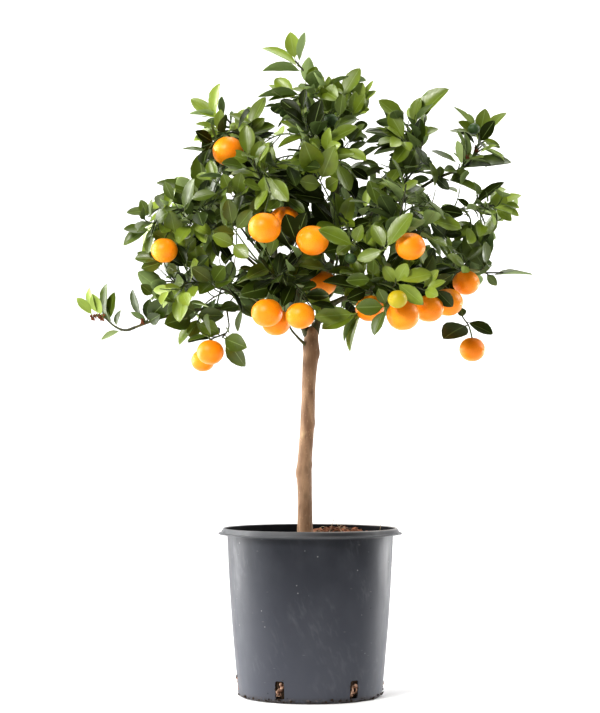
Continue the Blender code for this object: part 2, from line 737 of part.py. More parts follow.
def part_doubled_edges(shape):
    """Puts a point halfway between two corners wherever triangles would join the two twice."""
    for _ in range(SPLIT_ROUNDS):
        shape.verts.index_update()
        shape.verts.ensure_lookup_table()
        trial = shape.copy()
        bmesh.ops.triangulate(trial, faces=trial.faces)
        doubled = [edge for edge in trial.edges if len(edge.link_faces) > 2]
        pairs = [[shape.verts[v.index] for v in edge.verts] for edge in doubled]
        trial.free()
        if not pairs:
            return
        for a, b in pairs:
            edge = shape.edges.get((a, b))
            if edge:
                bmesh.utils.edge_split(edge, a, 0.5)
                continue
            face = next(face for face in a.link_faces if b in face.verts[:])
            bmesh.utils.face_split(face, a, b, coords=[(a.co + b.co) / 2])


def foliage(mass, limbs, solids, home, profile, surface):
    """One mass as one solid: a union of its stem with its shoots, stalks, leaves and oranges."""
    twigs, leaves = grow(mass, limbs, solids)
    parts = collection(mass.name + "_parts")
    stem = tubes([(mass.name, twigs[0])], home, profile=profile)[0]
    tubes([("twig", twig) for twig in twigs[1:]], parts, profile=profile)
    for leaf in leaves:
        leaf_object(leaf, parts)
    for fruit in mass.fruits:
        fruit_object(fruit, parts)
    union = stem.modifiers.new("join", "BOOLEAN")
    union.operation = "UNION"
    union.operand_type = "COLLECTION"
    union.collection = parts
    union.solver = "MANIFOLD"
    apply_modifiers(stem)
    for part in list(parts.objects):
        bpy.data.objects.remove(part)
    bpy.data.collections.remove(parts)
    clean_union(stem.data)
    stem.data.materials.clear()
    stem.data.materials.append(surface)


def widened(limb, by):
    """The same limb with its sides and its ends moved out."""
    points = [p.copy() for p in limb.points]
    points[0] -= (points[1] - points[0]).normalized() * by
    points[-1] += (points[-1] - points[-2]).normalized() * by
    return Twig(points, [r + by for r in limb.radii])


def resolution_of(name, limb):
    if name == "trunk":
        return TRUNK_RESOLUTION
    return THICK_RESOLUTION if limb.radii[0] >= THICK_BOUGH else THIN_RESOLUTION


def nearby_limbs(mass, limbs):
    """The parent of a mass's bough, and any earlier bough that leaves the parent beside it."""
    beside = []
    for other in MASSES[: MASSES.index(mass)]:
        near = abs(other.bough.along - mass.bough.along) < BESIDE
        if other.bough.parent == mass.bough.parent and near:
            beside.append(other.name)
    return [mass.bough.parent] + beside


def limb_object(name, node, limbs, near, home, cutters, surface):
    """A limb as a tapering tube, cut clear of the limbs where it starts."""
    made = tubes([(node, limbs[name])], home, resolution_of(name, limbs[name]))[0]
    for other in near:
        shape = widened(limbs[other], CLEAR)
        resolution = resolution_of(other, limbs[other])
        cutter = tubes([(node + "_cutter", shape)], cutters, resolution)[0]
        cutter.hide_render = True
        cutter.display_type = "WIRE"
        cut = made.modifiers.new("seat", "BOOLEAN")
        cut.operation = "DIFFERENCE"
        cut.object = cutter
        cut.solver = "EXACT"
    if near:
        apply_modifiers(made)
        clean_union(made.data)
    made.data.materials.clear()
    made.data.materials.append(surface)
    made.data.shade_smooth()
    made.data.set_sharp_from_angle(angle=LIMB_SHARP_ANGLE)
    return made


def turned(name, profile, steps, home, surface):
    """A round piece from a profile of (radius, height) that runs down its outer side."""
    mesh = bpy.data.meshes.new(name)
    points = [(radius, 0, height) for radius, height in profile]
    mesh.from_pydata(points, [(i, i + 1) for i in range(len(points) - 1)], [])
    made = mesh_object(name, mesh, home)
    screw = made.modifiers.new("turn", "SCREW")
    screw.steps = steps
    screw.render_steps = steps
    screw.use_merge_vertices = True
    screw.merge_threshold = 1e-5
    mesh.materials.append(surface)
    return made


def pot_wall():
    """Outer radius and height of the pot's wall from the shoulder down to its rounded corner."""
    points = []
    for share in (1.0, 0.5, 0.0):
        height = BASE_CORNER + (SHOULDER_HEIGHT - BASE_CORNER) * share
        radius = BASE_RADIUS + (SHOULDER_RADIUS - BASE_RADIUS) * share
        points.append((radius + WALL_BULGE * math.sin(math.pi * share), height))
    return points


def pot_profile():
    wall = pot_wall()
    inner = [(radius - WALL, height) for radius, height in reversed(wall[:-1])]
    floor_edge = BASE_RADIUS - WALL
    floor = [(0, WALL), (floor_edge - INNER_CORNER, WALL), (floor_edge, BASE_CORNER + WALL)]
    flange = POT_HEIGHT - RIM_DEPTH
    rim = [
        (RIM_TOP_RADIUS - RIM_LIP, POT_HEIGHT),
        (RIM_TOP_RADIUS, POT_HEIGHT),
        (RIM_TOP_RADIUS + RIM_FLARE, flange + RIM_KNEE),
        (RIM_RADIUS, flange + FLANGE_TOP),
        (RIM_RADIUS, flange - FLANGE_UNDERSIDE),
        (SHOULDER_RADIUS + FLANGE_NECK, flange - FLANGE_UNDERSIDE),
    ]
    corner = (
        BASE_RADIUS - BASE_CORNER * (1 - math.cos(CORNER_SLOPE)),
        BASE_CORNER * (1 - math.sin(CORNER_SLOPE)),
    )
    return floor + inner + rim + wall + [corner, (BASE_RADIUS - BASE_CORNER, 0), (0, 0)]


def pot(home, cutters, surface):
    """The pot's shell, with a ring of drain slots low in its wall."""
    made = turned("pot", pot_profile(), POT_STEPS, home, surface)
    slots = bpy.data.collections.new("drain_slots")
    cutters.children.link(slots)
    for i in range(SLOTS):
        angle = SLOT_TURN + math.tau * i / SLOTS
        shape = bmesh.new()
        bmesh.ops.create_cube(shape, size=1.0)
        bmesh.ops.scale(shape, vec=(SLOT_WIDTH, SLOT_CUT_DEPTH, SLOT_HEIGHT), verts=shape.verts)
        mesh = bpy.data.meshes.new("drain_slot")
        shape.to_mesh(mesh)
        shape.free()
        cutter = mesh_object("drain_slot", mesh, slots)
        cutter.location = (
            BASE_RADIUS * math.sin(angle),
            -BASE_RADIUS * math.cos(angle),
            SLOT_FOOT + SLOT_HEIGHT / 2,
        )
        cutter.rotation_euler = (0, 0, angle)
        cutter.hide_render = True
        cutter.display_type = "WIRE"
    cut = made.modifiers.new("slots", "BOOLEAN")
    cut.operation = "DIFFERENCE"
    cut.operand_type = "COLLECTION"
    cut.collection = slots
    cut.solver = "EXACT"
    return made


def soil(home, surface):
    """The root ball and its soil, a little below the rim and highest at the trunk."""
    inner = [(radius - WALL - CLEAR, height) for radius, height in pot_wall()]
    (high_radius, high), (middle_radius, middle) = inner[:2]
    edge = high_radius + (middle_radius - high_radius) * (high - SOIL_TOP) / (high - middle)
    inset, rise = SOIL_CORNER
    foot = WALL + CLEAR
    top = [
        (0, SOIL_TOP),
        (SOIL_FLAT_RADIUS, SOIL_TOP),
        (SOIL_SHOULDER_RADIUS, SOIL_TOP - SOIL_SHOULDER_DROP),
        (edge, SOIL_TOP - SOIL_EDGE_DROP),
    ]
    base = [
        (BASE_RADIUS - WALL - CLEAR, BASE_CORNER + WALL + rise),
        (BASE_RADIUS - WALL - inset, foot),
        (0, foot),
    ]
    return turned("soil", top + inner[1:-1] + base, POT_STEPS, home, surface)


def main():
    clear_scene()
    tree = collection("calamondin_tree")
    cutters = collection("cutters")
    cutters.hide_render = True
    plastic = material("pot_plastic", (0.10, 0.11, 0.13), 0.5)
    earth = material("soil", (0.07, 0.04, 0.025), 0.95)
    bark = material("bark", (0.26, 0.15, 0.08), 0.85)
    green_bark = material("green_bark", (0.10, 0.13, 0.05), 0.7)
    leaf_green = material("leaf_green", (0.07, 0.16, 0.03), 0.45)
    section = triangle_profile(cutters)

    pot(tree, cutters, plastic)
    soil(tree, earth)
    limbs = all_limbs()
    limb_object("trunk", "trunk", limbs, [], tree, cutters, bark)
    for mass in MASSES:
        node = mass.name.replace("foliage", "bough")
        limb_object(mass.name, node, limbs, nearby_limbs(mass, limbs), tree, cutters, green_bark)

    rods = Obstacles(rods_of(limbs.values()), LIMB_CLEARANCE)
    oranges = Obstacles(fruit_rows(), FRUIT_CLEARANCE)
    for mass in MASSES:
        foliage(mass, limbs, [rods, oranges], tree, section, leaf_green)


main()
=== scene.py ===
"""Looks of a calamondin orange tree in its nursery pot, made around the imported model.

Metres, +Z up, the origin under the middle of the pot, and the camera looks along +Y. The limbs
come from the same table as the solids. Twigs, leaves and oranges grow on from them by the same
seeded rule, with natural sizes and finer twigs.
"""

import itertools
import json
import math
import random
from collections import namedtuple

import bmesh
import bpy
import numpy as np
from mathutils import Euler, Matrix, Vector, noise

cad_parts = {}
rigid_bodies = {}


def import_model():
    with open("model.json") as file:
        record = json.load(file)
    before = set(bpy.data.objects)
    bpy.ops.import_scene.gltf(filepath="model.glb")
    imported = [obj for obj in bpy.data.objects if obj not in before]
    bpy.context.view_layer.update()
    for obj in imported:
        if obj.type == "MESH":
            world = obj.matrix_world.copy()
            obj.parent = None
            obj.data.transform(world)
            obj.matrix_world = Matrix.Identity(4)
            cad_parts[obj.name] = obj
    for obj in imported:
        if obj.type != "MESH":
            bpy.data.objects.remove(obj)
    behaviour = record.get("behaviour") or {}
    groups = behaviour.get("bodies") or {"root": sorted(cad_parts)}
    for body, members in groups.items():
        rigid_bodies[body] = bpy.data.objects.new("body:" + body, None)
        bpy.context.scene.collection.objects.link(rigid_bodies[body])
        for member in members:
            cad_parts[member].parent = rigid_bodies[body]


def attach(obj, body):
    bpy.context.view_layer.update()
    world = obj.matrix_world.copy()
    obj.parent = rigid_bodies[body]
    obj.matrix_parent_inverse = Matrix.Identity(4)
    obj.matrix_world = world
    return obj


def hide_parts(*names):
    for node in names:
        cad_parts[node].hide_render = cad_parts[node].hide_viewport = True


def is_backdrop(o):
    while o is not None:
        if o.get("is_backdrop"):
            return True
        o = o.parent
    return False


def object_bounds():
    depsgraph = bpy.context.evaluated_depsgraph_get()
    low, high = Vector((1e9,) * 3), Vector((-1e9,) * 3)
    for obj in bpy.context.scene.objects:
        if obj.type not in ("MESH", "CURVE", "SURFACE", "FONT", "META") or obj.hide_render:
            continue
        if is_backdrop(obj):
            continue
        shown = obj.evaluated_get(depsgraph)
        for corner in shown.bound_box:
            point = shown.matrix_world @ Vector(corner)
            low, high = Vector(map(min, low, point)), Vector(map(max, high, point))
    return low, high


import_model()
cad_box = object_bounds()

# Camera: the photo's frame is 600 by 713 pixels, and the camera's own height is on row 425
PHOTO_WIDTH = 600
PHOTO_HEIGHT = 713
HORIZON_ROW = 425
FOCAL_PIXELS = 2154
SENSOR = 36.0
CAMERA_PLACE = (-0.0122, -2.585, 0.323)
CAMERA_TILT = math.radians(91.82)

# Pot
POT_HEIGHT = 0.200
RIM_RADIUS = 0.110
RIM_TOP_RADIUS = 0.1045
RIM_DEPTH = 0.0066
SHOULDER_RADIUS = 0.0992
SHOULDER_HEIGHT = 0.190
WALL_BULGE = 0.0016
BASE_RADIUS = 0.0860
WALL = 0.0022
BASE_CORNER = 0.0050
POT_STEPS = 144
WALL_ROWS = 14
SLOTS = 6
SLOT_WIDTH = 0.0112
SLOT_HEIGHT = 0.0210
SLOT_FOOT = 0.0050
SLOT_TURN = math.radians(-24.3)
SLOT_CUT_DEPTH = 0.020
SLOT_CORNER = 0.0022
RIM_LIP_RADIUS = 0.0011
RIM_ROLL = 0.0006
RIM_SLOPE = ((0.0006, 0.0046), (0.0018, 0.0024))
FLANGE_THICKNESS = 0.0016
FLANGE_FILLET = 0.0012
FILLET_OUT = 0.0030
SHOULDER_STEPS = ((0.0014, 0.0), (0.0003, 0.0007))
FLOOR_CORNER = 0.003
INWARD = 0.5

# Roots in the drain slots, and crumbs of soil there and round the foot
ROOTS_PER_SLOT = 9
ROOT_RADII = (0.0005, 0.0021)
ROOT_DEPTHS = (-0.0012, 0.0022)
ROOT_MARGIN = 0.0012
ROOT_SPREAD = 0.42
ROOT_START = 0.004
ROOT_BEND = 0.003
ROOT_STEPS = 8
CRUMBS_PER_SLOT = 9
CRUMB_SIDES = (-0.46, -0.40, 0.40, 0.46)
CRUMB_HEIGHTS = (-0.001, 0.002)
CRUMB_SIZES = (0.0012, 0.0034)
CRUMB_SHAPE = (1.0, 0.8, 0.7)
FOOT_CRUMBS = 90
FOOT_CRUMB_LOW = 0.0012
FOOT_CRUMB_INSET = -0.0012
WALL_LEAN = 0.072
LUMP_SHAPES = 3
LUMP_SIDES = 7
LUMP_RINGS = 5

# Heights on the pot: painted shade under its rim that lightens towards the foot, where dust also lies
# thicker, its dirty foot, its worn rim, and the groove and lip at the right, with a painted shadow in the
# groove and a painted highlight on the lip
POT_SHADE_AND_DUST = (0.015, 0.175)
DIRTY_FOOT = (0.0075, 0.0015)
WORN_RIM = (0.1900, 0.1925)
GROOVE_FLOOR = (0.1945, 0.1955)
GROOVE_TOP = (0.1987, 0.1978)
LIP_HIGHLIGHT = (0.1989, 0.1993)
LIGHT_AND_SHADE_SIDE = (-0.015, 0.030)

# Soil
CLEAR = 0.0003
SOIL_TOP = 0.1850
SOIL_EDGE_DROP = 0.0045
SOIL_RINGS = 40
SOIL_GRAIN = 0.0022
SOIL_GRAINS = ((1.0, 90, 0), (0.60, 240, 5), (0.35, 600, 9))
SOIL_INSET = 0.0006
SOIL_FOOT_INSET = 0.0036
SOIL_DENTS = 0.012
SOIL_DENT_SCALE = 160
HEAP_REACH = 0.045
BARE_SHARE = 0.22
TRUNK_CLEARING = 0.016
EDGE_CLEARING = 0.008
CHIP_SHAPES = 5
CHIP_JITTER = 0.13
CHIP_WIDTH = 0.6
CHIP_THICKNESS = 0.22
CHIP_BEND = 0.25
FIBRE_SHAPES = 4
FIBRE_STEPS = 8
FIBRE_SIDES = 4
FIBRE_RADIUS = 0.011
FIBRE_JITTER = 0.05
FIBRE_CURL = 0.22
FIBRE_TURNS = 2.4
FIBRE_ARCH = 0.10
WEED_SINK = 0.003
WEED_BOW = (0.003, 0, 0.004)
WEED_RADII = (0.0004, 0.0002)

# Heaps of soil: place, rise and width
HEAPS = (
    (0.024, 0.058, 0.0100, 0.026),
    (0.052, 0.056, 0.0090, 0.024),
    (0.074, 0.030, 0.0060, 0.020),
    (0.002, 0.076, 0.0040, 0.022),
    (-0.050, -0.030, 0.0020, 0.030),
)

# Dry stalks: foot x and y, top x, y and height
STALKS = (
    (0.020, 0.030, 0.030, 0.040, 0.2135),
    (0.040, 0.035, 0.024, 0.030, 0.2100),
    (0.082, 0.030, 0.086, 0.034, 0.2110),
)

# Trunk: height, offset to the right and radius, from the flat cut on the soil to the fork
TRUNK = (
    (SOIL_TOP + CLEAR, -0.0060, 0.0112),
    (0.193, -0.0061, 0.0098),
    (0.210, -0.0062, 0.0089),
    (0.240, -0.0064, 0.0086),
    (0.266, -0.0072, 0.0090),
    (0.284, -0.0062, 0.0084),
    (0.325, -0.0032, 0.0086),
    (0.345, -0.0026, 0.0082),
    (0.380, -0.0014, 0.0084),
    (0.402, 0.0002, 0.0093),
    (0.414, 0.0018, 0.0099),
    (0.426, 0.0012, 0.0085),
    (0.436, 0.0018, 0.0086),
)
TRUNK_SIDES = 44
TRUNK_PITCH = 0.0011
TRUNK_RELIEF = 0.030
TRUNK_SINK = 0.004
TRUNK_FLARE = 0.0010
TRUNK_DOME = 0.006
DOME_STEPS = 5
DOME_END = math.radians(80)
OFFSET_ROUNDS = 60
RADIUS_ROUNDS = 12

# Knots and scars of the trunk: height, turn from the front, how far they stand out, half height
# and half width, and how pale or dark they are
TRUNK_MARKS = (
    (0.3110, -0.46, 0.0007, 0.0036, 0.0030, 1.0),
    (0.3095, -0.16, -0.0005, 0.0024, 0.0016, -0.7),
    (0.3960, -0.95, 0.0008, 0.0044, 0.0030, -0.8),
    (0.3620, 0.37, 0.0004, 0.0024, 0.0020, -0.7),
    (0.3440, 0.10, 0.0003, 0.0080, 0.0090, -0.12),
    (0.2660, -1.50, 0.0014, 0.0070, 0.0060, -0.15),
    (0.2700, 0.20, 0.0003, 0.0050, 0.0030, -0.40),
    (0.2760, 1.30, 0.0008, 0.0034, 0.0040, -0.25),
    (0.2380, 0.05, 0.0003, 0.0040, 0.0040, -0.35),
    (0.2260, -0.90, 0.0005, 0.0030, 0.0030, -0.25),
    (0.3250, 1.30, 0.0010, 0.0060, 0.0050, -0.15),
    (0.4080, 1.25, 0.0014, 0.0060, 0.0060, -0.35),
    (0.4180, -1.20, 0.0013, 0.0060, 0.0055, -0.85),
    (0.4240, 0.30, 0.0004, 0.0060, 0.0050, -0.60),
    (0.3730, 2.60, 0.0009, 0.0050, 0.0040, -0.6),
    (0.2900, 2.20, 0.0008, 0.0040, 0.0036, 0.7),
    (0.3300, -2.40, 0.0008, 0.0040, 0.0040, -0.5),
    (0.2350, -2.70, 0.0007, 0.0040, 0.0040, -0.4),
)

# Boughs, and the stems that go on from them
BOUGH_STEPS = 22
BOUGH_SIDES = 14
BOUGH_PITCH = 0.0022
BOUGH_RELIEF = 0.060
BOUGH_SLIM = 0.80
BOUGH_TAPER = 0.55
BOUGH_WANDER = 0.0016
SWAY_SCALE = 38
SWAY_EASE = 0.6
BOUGH_KNOTS = 0.12
KNOT_SCALE = 75
COLLAR = 0.55
COLLAR_LENGTH = 0.009
STEM_STEPS = 12
STEM_LEAD_IN = 0.003
STEM_TAPER = 0.45
STEM_BEND = 0.40
HELD_STEM_POINTS = 4
HELD_STEM_RADIUS = 0.001

# Bark: how broad and how fine relief repeats round a limb and along it, and the fine one's share
BROAD_BARK = (1.3, 55)
FINE_BARK = (4.5, 160)
FINE_BARK_SHARE = 0.45

# Shoots along a stem
SHOOT_STEPS = 10
SHOOT_RADIUS = 0.00125
SHOOT_TAPER = 0.62
STEM_SHARES = 10
SHOOT_BASES = (0.10, 0.92)
SHOOT_LAG = 0.25
SHOOT_HEADING = 0.30
SHOOT_WANDER = 0.12
SHOOT_LIFT = 0.12
SHOOT_SKIP = 0.010
SHOOT_TARGETS = 110
TARGET_STRIDE = 37
TARGET_DEPTH = 0.40
GOLDEN_TURN = math.radians(137.5)
TWIG_PITCH = 0.0030
TWIG_SIDES = 8

# Side twigs of a shoot, and spurs along a bough
SIDE_RADIUS = 0.0009
SIDE_LENGTHS = (0.018, 0.034)
SIDE_SHARES = (0.30, 0.52, 0.72)
SIDE_HEADING = (0.55, 0.80, 0.35)
SIDE_BEND = 0.45
SIDE_STEPS = 5
SIDE_TRIES = 3
SIDE_SKIP = 0.005
SIDE_SKIP_RADII = 1.6
SPUR_FROM = 0.32
SPUR_PITCH = 0.022
SPUR_PLACES = (0.2, 0.8)
SPUR_REACH = 0.040

# Stalks of the oranges
STALK_RADIUS = 0.0010
STALK_STEPS = 6
STALK_SHARES = (3, 20)
STALK_RISE = 0.004
STALK_SINK = 0.0016

# The shape of a leaf, in shares of its length
LEAF_ASPECT = 0.46
LEAF_STATIONS = (0.04, 0.13, 0.23, 0.37, 0.54, 0.71, 0.85, 0.95)
LEAF_PETIOLE = 0.13
LEAF_SIDES = 8
LEAF_SHAPES = 7
BLADE_LEAN = 1.04
BLADE_ROUNDNESS = 0.70
BLADE_THICKNESS = 0.0050
BLADE_EASE = 0.15
STALK_THICKNESS = 0.0130
STALK_HALF_WIDTH = 0.034
MIDRIB_DEPTH = 0.007
FOLDS = (0.18, 0.50)
FOLD_CURVE = 1.3
DROOPS = (0.03, 0.20)
MEAN_DROOP = 0.11
SWAY = 0.05
TWIST = 0.30
WAVES = (0.004, 0.012)
WAVE_TURNS = 13

# Leaves at their natural size, and how they sit on a twig
LEAF_LENGTHS = (0.038, 0.058)
LEAF_WIDTHS = (0.41, 0.51)
LEAF_PITCH = 0.0090
LEAF_PITCHES = (0.80, 1.15)
PITCH_GAIN = 0.07
LEAF_TURN_PLAY = 0.25
LEAF_SPREAD = math.radians(52)
LEAF_SPREADS = (0.70, 1.25)
TIP_LEAF_SPREAD = 0.30
TIP_SINK = 0.0004
TIP_LEAF_SIZE = 0.72
LEAF_SIZE_GAIN = 0.10
LEAF_LIFTS = (-0.45, 0.25)
TOP_LIFT = 0.40
TOP_FROM = 0.62
TOP_OVER = 0.12
LEAF_ROLL = 0.50
LEAF_FACE = (0.45, 0.60, -0.1)
LEAF_OUTWARD = (0.30, 0.70)
OUTWARD_REACH = (0.20, 0.05)
LEAFY_SHARE = 0.92
LEAVES_PER_SHOOT = 8
LEAVES_PER_SIDE = 4
SIDE_LEAF_SIZE = 0.88
LEAF_SHARE = 3.1
FEWEST_LEAVES = (4, 2)
LEAF_TURNS = tuple(math.radians(a) for a in (0, 40, -40, 80, -80, 140))
LEAF_SIZES = (1.0, 0.80)

# The room that twigs and leaves need
LEAF_GAP = 0.0033
TWIG_GAP = 0.0014
WOOD_GAP = 0.0020
LEAF_ROWS = 7
SAMPLE_SHARES = np.linspace(0.25, 1.0, LEAF_ROWS)
TIP_REACH = 0.036
WAY_STEPS = 7
LONGEST_SKIP = 0.8
CELL_OVERSTEP = 0.0060

# Sprays told leaf by leaf
SPRAY_SNAP = 0.006
SPRAY_PITCH = 0.0055
SPRAY_BEND = 0.45
SPRAY_STRAIGHTEST = 0.12
SPRAY_TURN_COST = 1.2
SPRAY_FULLER = 1.12
SPRAY_NARROWEST = 0.009
SPRAY_BROADEST = 0.56
SPRAY_REACH = 0.9
SPRAY_DEPTHS = (-0.014, 0.008)
LIGHT_SIDE = (-0.6, 0.0, 1.0)
CARRIER_SHARES = 20

# Oranges
FRUIT_SEGMENTS = 36
FRUIT_RINGS = 22
FRUIT_SQUASH = 0.92
FRUIT_SQUASHES = (0.97, 1.02)
FRUIT_TILT = 0.10
FRUIT_LUMPS = ((0.014, 1.9), (0.005, 6))
CROWN_DIMPLE = (0.050, 0.24)
FOOT_DIMPLE = (0.022, 0.16)
FRUIT_CLEARANCE = 0.0014
FRUIT_VIEW_SHARE = 0.62
FRUIT_VIEW_LENGTH = 0.060
GREEN_FRUIT = 0.020
TURNING_FRUIT = 0.024

# Calyxes on the oranges
CALYX_RADIUS = 0.0034
CALYX_SIDES = 10
CALYX_CROWN = 0.55
CALYX_DEPTH = 0.30
CALYX_NOTCH = 0.62
CALYX_HOLLOW = 0.02
CALYX_FRUIT = 0.034
CALYX_SHARE = 0.6
CROWN_SHARE = 0.955

# How much of an orange's own width stays in clear view where leaves cover part of it, by its x and z
COVERED = {
    (-0.030, 0.560): 0.0,
    (0.014, 0.489): 0.50,
    (0.068, 0.457): 0.30,
    (0.002, 0.532): 0.45,
    (0.112, 0.524): 0.45,
    (0.184, 0.491): 0.40,
}

# The crown's outline and the sky seen through it, both in the photo's pixels from its top left
# corner: the outline's corners, and each gap's middle and radius
OUTLINE = (
    (146, 296), (132, 268), (124, 246), (122, 226), (130, 208), (144, 199), (156, 196), (158, 180),
    (188, 174), (194, 154), (190, 143), (196, 122), (206, 111), (224, 108), (244, 107), (262, 97),
    (270, 80), (296, 84), (304, 58), (320, 68), (334, 76), (358, 70), (376, 84), (380, 104), (404, 106),
    (444, 89), (436, 128), (424, 150), (452, 156), (456, 134), (452, 108), (476, 114), (504, 112),
    (494, 134), (504, 150), (506, 164), (484, 170), (480, 190), (502, 184), (520, 196), (518, 218),
    (496, 224), (494, 262), (490, 276), (474, 294), (452, 306), (440, 318), (404, 331), (366, 324),
    (340, 330), (318, 324), (306, 301), (296, 317), (252, 318.5), (236, 312), (222, 336), (196, 346),
    (178, 340), (164, 322), (160, 306),
)
SKY_GAPS = (
    (202, 299, 6), (218, 294, 7), (195, 322, 3), (227, 319, 8), (233, 275, 3), (241, 243, 6),
    (241, 261, 5), (295, 243, 4), (224, 181, 4), (230, 193, 3), (180, 211, 3), (272, 121, 7),
    (282, 141, 7), (284, 156, 5), (366, 118, 5), (382, 157, 8), (446, 147, 6), (462, 196, 7),
    (432, 192, 5), (467, 219, 6), (419, 177, 3), (473, 264, 3),
    (336, 300, 5), (322, 217, 3), (325, 187, 4), (407, 177, 3), (314, 208, 3), (291, 93, 3),
    (305, 113, 3), (348, 143, 4), (327, 178, 3), (350, 162, 3), (361, 183, 3),
    (379, 176, 3), (236, 235, 3), (440, 199, 6), (350, 216, 3), (219, 266, 4), (199, 255, 3),
    (248, 251, 4), (287, 253, 4), (406, 208, 4), (158, 272, 5), (160, 281, 4), (182, 270, 4),
    (219, 240, 3), (232, 250, 3), (251, 262, 4), (440, 140, 5), (442, 167, 5), (428, 180, 4),
    (463, 168, 3), (479, 168, 3), (471, 196, 5), (455, 198, 5), (474, 216, 5), (462, 220, 4),
    (478, 148, 5), (481, 178, 5), (469, 187, 5), (490, 157, 4), (291, 132, 5), (298, 146, 4),
)

# Withered blossom: where on a twig it may hang, its sizes, tilt and drift, and its places
WITHERED_SHARES = (0.35, 0.6, 0.85, 1.0)
WITHERED_SIZES = (0.0038, 0.0064)
WITHERED_SHAPE = (0.7, 0.7, 1.0)
WITHERED_TILT = 0.6
WITHERED_DRIFT = 0.0018
WITHERED = (
    (-0.250, -0.020, 0.461),
    (-0.262, -0.022, 0.466),
    (-0.244, -0.016, 0.455),
    (-0.200, -0.022, 0.457),
    (0.192, 0.000, 0.653),
    (-0.144, -0.010, 0.605),
)

Mass = namedtuple("Mass", "name bough centre radii lead shoots leaves fruits")
Bough = namedtuple("Bough", "parent along tip bow radius")
Leaf = namedtuple("Leaf", "base along face length width tone shape")
Twig = namedtuple("Twig", "points radii")
Spray = namedtuple("Spray", "end depth tone leaves")
